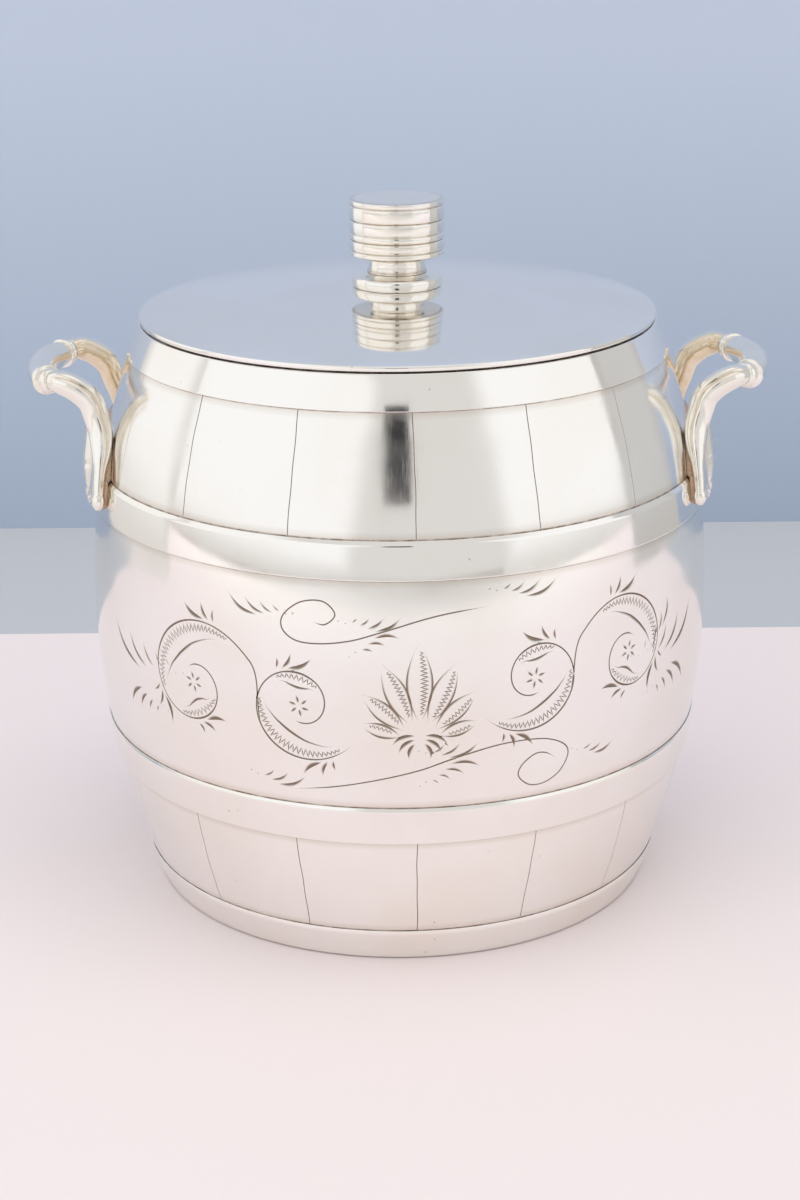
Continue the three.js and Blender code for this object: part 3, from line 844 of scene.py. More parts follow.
def knob():
    """A turned drum on a neck: the drum's rings by shares of its size, under a low crown."""
    low, radius = KNOB_LOW.z, KNOB_HIGH.y
    bottom = low + NECK_HEIGHT
    rings = drum_side(KNOB_HIGH.z - DRUM_CROWN - bottom, radius)
    crown = np.linspace(0.94, 0, 12)
    profile = np.vstack([
        [[0, low]],
        np.array(NECK_FOOT_CORNERS) * MM + [NECK_RADIUS, low],
        np.array(NECK_TOP_CORNERS) * MM + [NECK_RADIUS, bottom],
        pairs(rings[:, 1], bottom + rings[:, 0]),
        pairs(radius * crown, KNOB_HIGH.z - DRUM_CROWN * crown ** 2),
    ])
    return groove_mark(turned("knob_drum", profile, False, DRUM_EDGE), radius)


def knob_foot():
    """The collar: one rounded ring that lies on the dome, under a hollow shoulder that rises to the neck."""
    high, radius = KNOB_LOW.z - HOOP_SINK, KNOB_FOOT_RADIUS
    base = lid_height(radius) + 0.05 * MM
    ring_top = high - SHOULDER_HEIGHT
    share, shoulder = np.linspace(0, 1, 9), np.linspace(0, 1, 8)
    rounding = 0.4 * MM * (1 - np.sin(math.pi * share) ** 0.4)
    outer, inner = radius - 1.1 * MM, NECK_RADIUS + 0.7 * MM
    profile = np.vstack([
        [[0, base], [radius - 0.6 * MM, base]],
        pairs(radius - rounding, base + (ring_top - base) * share),
        pairs(outer - (outer - inner) * shoulder, ring_top + SHOULDER_HEIGHT * shoulder ** 2),
        [[0, high]],
    ])
    return turned("knob_collar", profile, False, FINE_EDGE)


def stud_thread():
    """The stud under the knob: a round bar whose radius falls and rises with the pitch of its thread."""
    low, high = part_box("knob_stud")
    z = np.linspace(low.z, high.z, STUD_STEPS)
    radius = STUD_RADIUS - THREAD_DEPTH * np.abs(2 * ((z - low.z) / THREAD_PITCH % 1) - 1)
    profile = np.vstack([[[0, low.z]], pairs(radius, z), [[0, high.z]]])
    return turned("stud_bar", profile, False, sides=STUD_SIDES)


def washer():
    """The flat ring between the lid and the nut."""
    return flat_ring("washer_ring", "knob_washer", STUD_HOLE, WASHER_EDGE, WASHER_SIDES)


def nut():
    """A hexagon nut: a ring whose outer radius follows a hexagon, limited at its upper and lower ends by a
    cone, as a turned chamfer does."""
    low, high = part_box("knob_nut")
    corner = high.x
    turn = np.arange(NUT_SIDES) * FULL_TURN / NUT_SIDES
    sixth = FULL_TURN / 6
    hexagon = corner * math.cos(sixth / 2) / np.cos((turn + sixth / 2) % sixth - sixth / 2)
    share = np.array([0, 0.12, 0.25, 0.75, 0.88, 1])[:, None]
    limit = corner - NUT_CHAMFER * (1 - np.minimum(share, 1 - share) * 4).clip(0, 1)
    radius = np.vstack([np.minimum(hexagon, limit), STUD_HOLE * np.ones((2, NUT_SIDES))])
    height = low.z + (high.z - low.z) * np.vstack([share, [[1]], [[0]]])
    points = round_axis(radius, height, turn)
    return closed_up(add_mesh("hexagon_nut", points.reshape(-1, 3), grid_faces(len(radius), NUT_SIDES, True)))


# Handles

# The line that one handle follows, from the tip of its rear strand over the grip to that of the front one:
# shares of the handle's height, of the arm's spread and of the grip's reach off the wall
HANDLE_LINE_SHARES = (
    (0, 1.44, 0.13), (0.1, 1.42, 0.135), (0.22, 1.36, 0.138), (0.36, 1.26, 0.135), (0.48, 1.16, 0.135),
    (0.6, 1.07, 0.17), (0.73, 1.015, 0.265), (0.856, 1, 0.385), (0.954, 0.99, 0.6),
    (1, 0.95, 0.78), (0.99, 0.76, 0.91), (0.997, 0.38, 0.98), (1, 0, 1),
)
# Half sizes of an arm as shares of its full ones, from the bead at the grip down to the tip
ARM_TAPER_SHARES = (
    (0, 0.76, 1.04), (0.06, 0.95, 1.2), (0.25, 1.05, 1.18), (0.45, 1, 1.1), (0.57, 0.9, 1.04),
    (0.66, 0.7, 0.9), (0.75, 0.46, 0.64), (0.86, 0.42, 0.56), (0.93, 0.38, 0.5), (1, 0.2, 0.25),
)
# The leaf from its top to its tip: shares of its half width, of its plate's lift and of its rib's rise
LEAF_SHARES = (
    (0, 0.72, 0.9, 1), (0.1, 0.8, 1, 1.08), (0.28, 0.88, 1, 1), (0.42, 0.94, 1, 0.98), (0.46, 0.96, 1, 0.8),
    (0.52, 0.98, 1, 0.9), (0.68, 1, 0.95, 0.62), (0.72, 0.96, 0.9, 0.46), (0.77, 0.84, 0.85, 0.52),
    (0.86, 0.5, 0.8, 0.36), (0.93, 0.28, 0.75, 0.22), (1, 0.1, 0.65, 0.1),
)


def handle_line():
    """The handle's line as evenly spaced points and their distances from the middle of the grip. Each
    stretch between two knots is a cubic whose time steps are the square roots of the knots' distances."""
    share = np.array(HANDLE_LINE_SHARES)
    z = TIP_Z + HANDLE_HEIGHT * share[:, 0]
    rear = beside_wall(ARM_SPREAD * share[:, 1], z, GRIP_REACH * share[:, 2])
    knots = run_on(np.vstack([rear, rear[-2::-1] * [1, -1, 1]]))
    step = np.sqrt(np.linalg.norm(np.diff(knots, axis=0), axis=1))[:, None]
    slope = np.diff(knots, axis=0) / step
    wide = (knots[2:] - knots[:-2]) / (step[1:] + step[:-1])
    knot_slope = slope[:-1] - wide + slope[1:]
    span = step[1:-1]
    ends = (knots[1:-2], knot_slope[:-1] * span, knots[2:-1], knot_slope[1:] * span)
    t = np.linspace(0, 1, STRETCH_STEPS, endpoint=False)[None, :, None]
    stretches = cubic(*(end[:, None, :] for end in ends), t)
    line = np.vstack([stretches.reshape(-1, 3), knots[-2:-1]])
    along_line = distances(line)
    return line, along_line - along_line[-1] / 2


LINE, LINE_DISTANCE = handle_line()
STRAND_END = LINE_DISTANCE[-1]
COLLAR_START = GRIP_LENGTH / 2 + RING_GAP
BEAD_START = COLLAR_START + COLLAR_LENGTH + RING_GAP
ARM_START = BEAD_START + BEAD_LENGTH + RING_GAP


def line_at(distance):
    """Place and direction of the handle's line at distances from the middle of the grip."""
    slope = np.gradient(LINE, LINE_DISTANCE, axis=0)
    return between(distance, LINE_DISTANCE, LINE), unit(between(distance, LINE_DISTANCE, slope))


def bar_along(name, distance, half_wide, half_deep, across, form=1, stain=None):
    """A bar along the handle's line: an oval of the two half sizes round each place of the line, times a
    form that may give the section ridges and hollows. The stain says how deep the patina, which also stands
    for painted shade, lies at each point. Both ends are closed with a fan."""
    centre, tangent = line_at(distance)
    wide = unit(np.cross(across, tangent))
    deep = np.cross(tangent, wide)
    points = (
        centre[:, None, :]
        + wide[:, None, :] * (half_wide[:, None] * np.cos(BAR_ANGLES) * form)[..., None]
        + deep[:, None, :] * (half_deep[:, None] * np.sin(BAR_ANGLES) * form)[..., None]
    )
    piece = skin(name, points, [centre[0], centre[-1]])
    if stain is not None:
        mark(piece, "recess", np.r_[stain.ravel(), 0, 0])
    return closed_up(piece)


def smoothed_shares(table, share, spread=0.03):
    """Straight runs between the rows of a table of shares, averaged over a short stretch each way."""
    rows = np.array(table)
    nearby = np.clip(share[:, None] + np.linspace(-spread, spread, 9), 0, 1)
    return [np.interp(nearby, rows[:, 0], rows[:, k]).mean(axis=1) for k in range(1, rows.shape[1])]


def push_clear(piece, clearance):
    """Moves every point that lies too near the wall or a hoop out to the clearance."""
    places = points_of(piece)
    z = places[:, 2]
    stand = np.zeros(len(z))
    for low, high in HOOP_SPANS.values():
        away = np.maximum(low - z, z - high)
        stand = np.maximum(stand, HOOP_STAND * np.clip(1 - away / HOOP_FADE, 0, 1))
    least = wall_radius(np.clip(z, FOOT_Z, RIM_Z)) + stand + clearance
    radius = np.hypot(places[:, 0], places[:, 1])
    places[:, :2] *= np.maximum(1, least / radius)[:, None]
    piece.data.vertices.foreach_set("co", places.ravel().astype(np.float32))
    piece.data.update()
    return piece


def arm(name, front):
    """A cast arm: a broad rounded face with one groove along its inner edge, which sets off a thin border. It
    narrows into a strand that ends in a ball. Between the arms and in the groove lies a golden patina, which
    also stands for painted shade there."""
    distance = np.linspace(ARM_START, STRAND_END, ARM_ROWS)
    share = (distance - ARM_START) / (STRAND_END - ARM_START)
    wide, deep = smoothed_shares(ARM_TAPER_SHARES, share)
    from_ball = (distance - (STRAND_END - TIP_BALL_LENGTH / 2)) / (TIP_BALL_LENGTH / 2)
    ball = TIP_BALL_RADIUS * np.sqrt(np.clip(1 - from_ball ** 2, 0, 1))
    half_wide = np.maximum(ARM_HALF_WIDTH * wide, ball)
    half_deep = np.maximum(ARM_HALF_DEPTH * deep, ball)
    strength = np.clip(np.minimum(share / 0.1, (0.93 - share) / 0.12), 0, 1)[:, None]
    off_groove = (front * np.cos(BAR_ANGLES) - ARM_GROOVE_SHARE) / ARM_GROOVE_WIDTH
    groove = strength * np.exp(-off_groove ** 2)
    # The side that faces the other arm, and the groove: patina that also stands for painted shade
    facing_other_arm = np.clip(front * np.sin(BAR_ANGLES), 0, 1)
    stain = np.maximum(ARM_GROOVE_STAIN_AND_SHADE * groove, ARM_SIDE_STAIN_AND_SHADE * facing_other_arm)
    form = 1 - ARM_GROOVE_DEPTH * groove
    piece = bar_along(name, distance * front, half_wide, half_deep, (0, 1, 0), form, stain)
    return push_clear(piece, WALL_CLEARANCE)


def grip(name):
    """A bowed round tube, a little thicker in its middle: its radius swells as a cosine."""
    half = GRIP_LENGTH / 2
    distance = np.linspace(-half, half, GRIP_ROWS)
    radius = GRIP_END_RADIUS + (GRIP_RADIUS - GRIP_END_RADIUS) * np.cos(math.pi * distance / GRIP_LENGTH)
    ease = np.clip((half - np.abs(distance)) / GRIP_EDGE, 0, 1)
    radius = radius * (0.93 + 0.07 * np.sqrt(ease))
    return bar_along(name, distance, radius, radius, (0, 0, 1))


def threaded_ring(name, start, length, radius, front, roundness):
    """A ring on the end of the grip: its outside is a half wave, as full as the roundness says."""
    share = np.linspace(0, 1, RING_ROWS)
    size = radius * (1 - roundness + roundness * np.sin(math.pi * share) ** 0.55)
    return bar_along(name, (start + length * share) * front, size, size, (0, 0, 1))


def leaf(name):
    """The shield between the strands: for each height its points run along the wall from front to rear, off
    it by the plate's lift, plus a rounded rib in the middle and flutes that follow the outline down to the
    tip. Its sides slope out to the wall as solder does, and the patina lies there, in the flutes and in a
    punched line."""
    share, spot = np.linspace(0, 1, LEAF_ROWS), np.linspace(-1, 1, LEAF_COLUMNS)
    aside = np.abs(spot)
    width, lift, rise = (column[:, None] for column in smoothed_shares(LEAF_SHARES, share, 0.012))
    z = (LEAF_TOP + (LEAF_TIP - LEAF_TOP) * share)[:, None]
    y = LEAF_HALF_WIDTH * width * spot
    rib_half = np.minimum(LEAF_RIB_HALF_WIDTH, LEAF_HALF_WIDTH * width)
    rib = LEAF_RIB_RISE * rise * np.clip(1 - (y / rib_half) ** 2, 0, 1)
    flutes = np.cos(FULL_TURN * LEAF_FLUTES * aside) * np.clip(aside * 5, 0, 1)
    edge = np.clip((1 - aside) / 0.05, 0, 1) ** 0.5
    out = (LEAF_PLATE_LIFT * lift - LEAF_BACK_GAP) * (0.6 + 0.4 * edge) + LEAF_BACK_GAP
    out = out + rib + 0.5 * FLUTE_DEPTH * (flutes - 1) * edge
    front = beside_wall(y, z, out)
    back = beside_wall(y * (1 + SOLDER_SPREAD * spot ** 8), z, SOLDER_GAP)
    rings = np.concatenate([front, back[:, ::-1]], axis=1)
    piece = skin(name, rings, [rings[0].mean(axis=0), rings[-1].mean(axis=0)])
    punched = np.exp(-((aside - PUNCHED_SHARE) / PUNCHED_WIDTH) ** 2) + 0 * z
    stain = np.maximum(0.5 * np.clip(-flutes, 0, 1) ** 2, np.where(edge < 0.5, 1, 0)) + 0 * z
    mark(piece, "recess", np.r_[np.concatenate([stain, 1 + 0 * stain], axis=1).ravel(), 1, 1])
    mark(piece, "punched", np.r_[np.concatenate([punched, 0 * stain], axis=1).ravel(), 0, 0])
    return push_clear(closed_up(piece), SOLDER_GAP)


def turn_half(piece):
    """Turns a piece of the right handle half round the barrel, in its mesh."""
    piece.data.transform(Matrix.Rotation(math.pi, 4, "Z"))
    return piece


# Finishes

def new_finish(name):
    """A material with its nodes, its links and its shader."""
    material = bpy.data.materials.new(name)
    material.use_nodes = True
    tree = material.node_tree
    return material, tree, tree.nodes["Principled BSDF"]


def feed(tree, socket, value):
    """Links a socket to the output that gives its value, or sets a plain value on it."""
    if isinstance(value, bpy.types.NodeSocket):
        tree.links.new(value, socket)
    else:
        socket.default_value = value


def add_node(tree, kind, inputs=None, **settings):
    """A node with its settings. An input is a value or the output that it takes its value from."""
    node = tree.nodes.new(f"ShaderNode{kind}")
    for key, value in settings.items():
        setattr(node, key, value)
    for key, value in (inputs or {}).items():
        feed(tree, node.inputs[key], value)
    return node


def object_place(tree, scale=(1, 1, 1), turn=(0, 0, 0)):
    """Object coordinates, stretched and turned."""
    place = add_node(tree, "TexCoord").outputs["Object"]
    mapping = add_node(tree, "Mapping", {"Vector": place, "Scale": scale, "Rotation": turn})
    return mapping.outputs["Vector"]


def along(tree, axis):
    """How far a place lies along the X, Y or Z axis."""
    place = add_node(tree, "TexCoord").outputs["Object"]
    return add_node(tree, "SeparateXYZ", {"Vector": place}).outputs[axis]


def marked(tree, name):
    """What mark stored on the piece under a name."""
    return add_node(tree, "Attribute", attribute_name=name).outputs["Fac"]


def noise(tree, scale, detail, place=None, roughness=0.55):
    """Soft noise between 0 and 1, in object coordinates unless a place is given."""
    vector = object_place(tree) if place is None else place
    node = add_node(tree, "TexNoise", {
        "Vector": vector, "Scale": scale, "Detail": detail, "Roughness": roughness,
    })
    return node.outputs["Fac"]


def ranged(tree, value, low, high, to_low, to_high):
    """Maps a value from one range to another and stops at its ends."""
    node = add_node(tree, "MapRange", {
        "Value": value, "From Min": low, "From Max": high, "To Min": to_low, "To Max": to_high,
    })
    return node.outputs["Result"]


def combine(tree, kind, *values):
    """All the values put together one after another by a sum, a product or the like."""
    result = values[0]
    for value in values[1:]:
        result = add_node(tree, "Math", {0: result, 1: value}, operation=kind).outputs[0]
    return result


def times(tree, *values):
    """The product of all the values."""
    return combine(tree, "MULTIPLY", *values)


def total(tree, *values):
    """The sum of all the values."""
    return combine(tree, "ADD", *values)


def distance_from(tree, value, place):
    """How far a value lies from a place, on either side of it."""
    apart = combine(tree, "SUBTRACT", value, place)
    return add_node(tree, "Math", {0: apart}, operation="ABSOLUTE").outputs[0]


def mixed(tree, share, first, second):
    """A colour between two colours."""
    node = add_node(tree, "Mix", data_type="RGBA")
    for socket, value in ((0, share), (6, first), (7, second)):
        feed(tree, node.inputs[socket], value)
    return node.outputs[2]


def finish_shader(tree, shader, colour, roughness, relief, strength, depth, metallic=1.0):
    """Gives a shader its colour, metal and roughness, and a relief of the given strength and depth."""
    bump = add_node(tree, "Bump", {"Height": relief, "Strength": strength, "Distance": depth})
    feed(tree, shader.inputs["Base Color"], colour)
    feed(tree, shader.inputs["Metallic"], metallic)
    feed(tree, shader.inputs["Roughness"], roughness)
    feed(tree, shader.inputs["Normal"], bump.outputs["Normal"])


def patches(tree, scale, detail, *ranges):
    """Uneven patches: noise, mapped from one range to another."""
    return ranged(tree, noise(tree, scale, detail), *ranges)


def scratches(tree, density, seed_turn):
    """Fine straight scratches: noise that is stretched far along one direction, cut down to its crests."""
    place = object_place(tree, (density, density * 0.02, density * 0.05), seed_turn)
    crest = noise(tree, 1.0, 2.0, place, 0.5)
    return ranged(tree, crest, 0.62, 0.8, 0.0, 1.0)


def pits(tree):
    """Small sparse pits: the middles of scattered cells, kept only where a slow noise is high."""
    cells = add_node(tree, "TexVoronoi", {"Vector": object_place(tree), "Scale": 210.0})
    dot = ranged(tree, cells.outputs["Distance"], 0.03, 0.07, 1.0, 0.0)
    return times(tree, dot, patches(tree, 60.0, 3.0, 0.56, 0.66, 0.0, 1.0))


SILVER = (0.935, 0.918, 0.895, 1)
SILVER_BLOOM = (0.89, 0.845, 0.785, 1)
PATINA = (0.2, 0.135, 0.085, 1)
# The brown halo beside the hoops' edges: painted shade, partly smeared polish
HOOP_SHADE_HALO = (0.58, 0.48, 0.39, 1)
# The two sets of scratches: how close they lie and how they are turned
SCRATCHES = ((5200.0, (0.3, 0.5, 0.2)), (4100.0, (1.1, 0.2, 1.9)))
POLISH_RELIEF = 0.06 * MM
PUNCHED_RELIEF = 0.1 * MM
BRASS_RELIEF = 0.05 * MM


def polished_silver(name, dirt_and_shade_heights=(), cut_depths=None, roughness=(0.045, 0.12)):
    """Mirror-polished plate: a faint warm bloom, uneven gloss, fine scratches and pits, and a brown line of
    old polish, either at the given edge heights or in cuts, where it grows from the first to the second of
    the cut depths in millimetres. Round each edge height lies a wider brown halo: painted shade beside the
    hoop, partly smeared polish."""
    material, tree, shader = new_finish(name)
    bloom = patches(tree, 26.0, 4.0, 0.42, 0.7, 0.0, 0.75)
    colour = mixed(tree, bloom, SILVER, SILVER_BLOOM)
    hole = pits(tree)
    colour = mixed(tree, times(tree, hole, 0.55), colour, PATINA)
    dirt = None
    if dirt_and_shade_heights:
        z = along(tree, "Z")
        grime = patches(tree, 420.0, 4.0, 0.3, 0.62, 0.25, 1.0)
        away = [distance_from(tree, z, height) for height in dirt_and_shade_heights]
        lines = [ranged(tree, gap, 0.12 * MM, 0.42 * MM, 0.95, 0.0) for gap in away]
        # The wide halos beside the edges are painted shade, partly smeared polish. The narrow lines are old
        # polish.
        shade_halos = [ranged(tree, gap, 0.2 * MM, 1.9 * MM, 0.42, 0.0) for gap in away]
        dirt = times(tree, combine(tree, "MAXIMUM", *lines), grime)
        colour = mixed(tree, combine(tree, "MAXIMUM", *shade_halos), colour, HOOP_SHADE_HALO)
    if cut_depths:
        dirt = ranged(tree, marked(tree, "cut_depth"), *cut_depths, 0.0, 0.92)
    marks = total(tree, *(scratches(tree, *scratch) for scratch in SCRATCHES))
    gloss = total(tree, patches(tree, 90.0, 5.0, 0.3, 0.7, *roughness), times(tree, marks, 0.05))
    if dirt is not None:
        colour = mixed(tree, dirt, colour, PATINA)
        gloss = total(tree, gloss, times(tree, dirt, 0.25))
    waves = times(tree, noise(tree, 150.0, 2.0), 0.55)
    relief = total(tree, times(tree, marks, -0.12), times(tree, hole, -1.0), waves)
    finish_shader(tree, shader, colour, gloss, relief, 0.25, POLISH_RELIEF)
    return material


WARM_SILVER = (0.92, 0.88, 0.8, 1)
WARM_PALE = (0.93, 0.91, 0.875, 1)
GOLDEN = (0.72, 0.53, 0.28, 1)
# The brown of the knob's grooves: patina that also stands for painted shade
GROOVE_BROWN = (0.42, 0.31, 0.2, 1)
SOLDER_BROWN = (0.6, 0.36, 0.2, 1)
BRASS_YELLOW = (0.74, 0.58, 0.3, 1)
BRASS_BROWN = (0.36, 0.24, 0.11, 1)


def warm_tone(tree):
    """A pale polish over a yellower tone, in soft patches."""
    return mixed(tree, patches(tree, 140.0, 4.0, 0.38, 0.66, 0.0, 1.0), WARM_PALE, WARM_SILVER)


def worn_silver(name, recess_colour, recess_strength, roughness=(0.09, 0.2)):
    """Cast and turned silver worn warm, with golden blotches, and with patina in the recesses that also
    stands for painted shade.
    """
    material, tree, shader = new_finish(name)
    blotch = patches(tree, 330.0, 5.0, 0.58, 0.78, 0.0, 0.2)
    colour = mixed(tree, blotch, warm_tone(tree), GOLDEN)
    uneven = patches(tree, 520.0, 4.0, 0.3, 0.6, 0.6, 1.0)
    # The recess mark darkens as patina and as painted shade
    stain = times(tree, marked(tree, "recess"), uneven, recess_strength)
    colour = mixed(tree, stain, colour, recess_colour)
    gloss = total(tree, patches(tree, 260.0, 5.0, 0.3, 0.7, *roughness), times(tree, stain, 0.12))
    relief = total(tree, noise(tree, 900.0, 3.0), times(tree, noise(tree, 240.0, 2.0), 1.5))
    finish_shader(tree, shader, colour, gloss, relief, 0.22, POLISH_RELIEF)
    return material


def matted_silver(name):
    """The leaf: worn pale silver, brown and rough in its flutes and at its sides, with a line of punch marks
    beside each strand."""
    material, tree, shader = new_finish(name)
    grain = noise(tree, 2600.0, 3.0)
    stain = times(tree, marked(tree, "recess"), ranged(tree, grain, 0.35, 0.6, 0.55, 1.0))
    cells = add_node(tree, "TexVoronoi", {"Vector": object_place(tree), "Scale": 1700.0})
    dots = times(tree, ranged(tree, cells.outputs["Distance"], 0.2, 0.5, 1.0, 0.0), marked(tree, "punched"))
    colour = mixed(tree, times(tree, dots, 0.5), warm_tone(tree), GOLDEN)
    colour = mixed(tree, stain, colour, SOLDER_BROWN)
    metallic = ranged(tree, stain, 0.4, 0.9, 1.0, 0.1)
    roughness = ranged(tree, stain, 0.0, 1.0, 0.24, 0.6)
    relief = total(tree, times(tree, dots, -1.0), times(tree, stain, grain))
    finish_shader(tree, shader, colour, roughness, relief, 0.6, PUNCHED_RELIEF, metallic)
    return material


def turned_brass(name):
    """Unplated brass: yellow with brown stains and fine turning marks."""
    material, tree, shader = new_finish(name)
    stain = patches(tree, 300.0, 4.0, 0.4, 0.7, 0.0, 0.6)
    colour = mixed(tree, stain, BRASS_YELLOW, BRASS_BROWN)
    roughness = ranged(tree, stain, 0.0, 0.6, 0.22, 0.45)
    marks = noise(tree, 1.0, 2.0, object_place(tree, (300, 300, 6000)))
    finish_shader(tree, shader, colour, roughness, marks, 0.25, BRASS_RELIEF)
    return material


def dress(piece, material, body, slot, *nodes):
    """Gives a piece its finish and its body, and hides the CAD nodes that it stands for. The slot is not
    used.
    """
    piece.data.materials.append(material)
    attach(piece, body)
    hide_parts(*nodes)


# The hoops' edges. At each one the wall gets a line of old polish and a halo of painted shade.
HOOP_EDGES = [height for span in HOOP_SPANS.values() for height in span]
WALL_FINISH = polished_silver("engraved_plate", HOOP_EDGES, None, (0.08, 0.17))
BROAD_CUT_FINISH = polished_silver("bright_cut", (), (0.025, 0.1), (0.1, 0.2))
FINE_CUT_FINISH = polished_silver("line_cut", (), (0.0, 0.07), (0.12, 0.25))
HOOP_FINISH = polished_silver("hoop_plate")
LID_FINISH = polished_silver("lid_plate_polish", (), None, (0.03, 0.08))
KNOB_FINISH = worn_silver("turned_silver", GROOVE_BROWN, 0.6, (0.06, 0.14))
CAST_FINISH = worn_silver("cast_silver", GOLDEN, 1.0)
LEAF_FINISH = matted_silver("matted_leaf")
BRASS_FINISH = turned_brass("turned_brass")


def make_barrel():
    """The wall with its engraving, the base and the hoops."""
    wall = barrel_wall()
    wall.data.materials.append(WALL_FINISH)
    stems, leaves, shades = belly_engraving()
    layers = (
        ("stave_joints", stave_lines(), FINE_CUT_FINISH), ("stems", stems, FINE_CUT_FINISH),
        ("leaves_first", leaves[::2], BROAD_CUT_FINISH), ("leaves_second", leaves[1::2], BROAD_CUT_FINISH),
        ("wriggle_first", shades[::2], FINE_CUT_FINISH), ("wriggle_second", shades[1::2], FINE_CUT_FINISH),
    )
    tools = []
    for name, cuts, finish in layers:
        tool = cutting_tool(name, cuts)
        tool.data.materials.append(finish)
        tools.append(tool)
    engrave(wall, tools)
    smooth_wall(wall)
    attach(wall, "barrel")
    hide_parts("barrel_wall")
    disc = flat_ring("base_disc", "base_plate", 0, SOFT_EDGE)
    dress(disc, HOOP_FINISH, "barrel", "silver_plate", "base_plate")
    for name in HOOP_NAMES:
        dress(hoop(name), HOOP_FINISH, "barrel", "silver_plate", name)


def make_lid():
    """The lid, its ring and everything that is screwed to it."""
    pieces = (
        (lid_plate(), LID_FINISH, "silver_plate", "lid_plate"),
        (lid_bezel(), HOOP_FINISH, "silver_plate", "lid_bezel"),
        (knob(), KNOB_FINISH, "warm_silver", "knob"),
        (knob_foot(), KNOB_FINISH, "warm_silver", "knob_foot"),
        (stud_thread(), BRASS_FINISH, "plain_brass", "knob_stud"),
        (washer(), BRASS_FINISH, "plain_brass", "knob_washer"),
        (nut(), BRASS_FINISH, "plain_brass", "knob_nut"),
    )
    for piece, finish, slot, node in pieces:
        dress(piece, finish, "lid", slot, node)


def make_handle(side_name, is_turned):
    """One handle. The left one is the right one turned half round, so that its front end is the rear one."""
    place = turn_half if is_turned else (lambda piece: piece)
    dress(place(grip(f"{side_name}_grip_tube")), CAST_FINISH, "barrel", "warm_silver", f"{side_name}_grip")
    dress(place(leaf(f"{side_name}_shield")), LEAF_FINISH, "barrel", "warm_silver", f"{side_name}_leaf")
    for end in (1, -1):
        is_front = (end > 0) != is_turned
        label = f"{side_name}_{'front' if is_front else 'rear'}"
        collar = (COLLAR_START, COLLAR_LENGTH, COLLAR_RADIUS, end, COLLAR_ROUNDNESS)
        bead = (BEAD_START, BEAD_LENGTH, BEAD_RADIUS, end, BEAD_ROUNDNESS)
        parts = (
            ("arm", arm(f"{label}_cast_arm", end)),
            ("collar", threaded_ring(f"{label}_collar_ring", *collar)),
            ("bead", threaded_ring(f"{label}_bead_ring", *bead)),
        )
        for part, piece in parts:
            dress(place(piece), CAST_FINISH, "barrel", "warm_silver", f"{label}_{part}")


# Stage, light and camera

FLOOR_PINK = (0.87, 0.785, 0.785, 1)
# Paler floor towards the camera: painted light that brightens the floor the belly mirrors, which the barrel
# shades
FLOOR_PAINTED_LIGHT = (0.89, 0.84, 0.82, 1)
FLOOR_FAR = (0.72, 0.7, 0.675, 1)
FLOOR_GREY = (0.54, 0.56, 0.6, 1)
FLOOR_GREY_DEEP = (0.5238, 0.5432, 0.582, 1)
BACKDROP_BLUE = (0.46, 0.53, 0.66, 1)
BACKDROP_DEEP = (0.33, 0.4, 0.52, 1)
SHADE_GREY = (0.1, 0.095, 0.09, 1)
SHADE_BLACK = (0.008, 0.007, 0.006, 1)
# Where the stage's colours run into each other, along y for the floor and along z for the others
FRONT_FLOOR_SPAN = (-0.9, -0.6)
NEAR_FLOOR_SPAN = (-0.45, -0.16)
BACKDROP_SPAN = (0, 0.17)
SHADE_SPAN = (0.2, 0.33)
STAGE_SIDES = (-3, 3)
# Edges of the stage's surfaces, each by its y and its z
FLOOR_NEAR_EDGE = (-3, 0)
CLOTH_END = (0.161, 0)
WALL_FOOT = (0.275, 0)
BACKDROP_TOP = (0.9, 2.4)
# The card that stands for the camera in reflections: its sides by x, and its lower and upper edge
SHADE_SIDES = (-0.053, 0.042)
SHADE_FOOT = (-0.56, 0.21)
SHADE_TOP = (-0.56, 0.395)


def strip(sides, near, far):
    """The corners of a flat strip between its two sides and two edges, each edge given by its y and z."""
    left, right = sides
    return (left, *near), (right, *near), (right, *far), (left, *far)


def colour_run(tree, axis, span, first, last):
    """A colour that runs from the first to the last over a span of an axis."""
    return mixed(tree, ranged(tree, along(tree, axis), *span, 0.0, 1.0), first, last)


def stage_plane(name, corners, roughness, colour_of):
    """A flat staged surface with a soft finish, in the colour that a function of the node tree gives."""
    piece = add_mesh(name, np.array(corners, float), np.array([[0, 1, 2, 3]]))
    material, tree, shader = new_finish(f"{name}_finish")
    feed(tree, shader.inputs["Base Color"], colour_of(tree))
    shader.inputs["Roughness"].default_value = roughness
    piece.data.materials.append(material)
    return piece


def softbox(name, place, size, power):
    """A large rectangular light at a place, turned towards the barrel."""
    light = bpy.data.lights.new(name, "AREA")
    light.shape = "RECTANGLE"
    light.size, light.size_y = size
    light.energy = power
    lamp = bpy.data.objects.new(name, light)
    bpy.context.scene.collection.objects.link(lamp)
    direction = unit(np.array(place, float) - LIGHT_TARGET)
    side = unit(np.cross([0.0, 0.0, 1.0], direction))
    matrix = np.eye(4)
    matrix[:3] = np.stack([side, np.cross(direction, side), direction, place], axis=-1)
    lamp.matrix_world = Matrix(matrix.tolist())
    return lamp


SOFTBOX_GLOW = 1.02
ROOM_GLOW = 0.76
ROOM_WHITE = (1, 0.98, 0.955, 1)
GLOW_STEPS = 33
LIGHT_TARGET = (0, 0, 0.1)
# Each softbox: its place, its size, its power, and how soft its edges look in reflections
SOFTBOXES = {
    "left": ((-1.17, -0.675, 0.64), (2.8, 1.2), 9.9, 0.22),
    "right": ((1.25, -0.505, 0.64), (1.7, 1.2), 4.7, 0.3),
    "overhead": ((0.15, -0.2, 1.9), (1.3, 1.1), 6.6, 0.3),
}
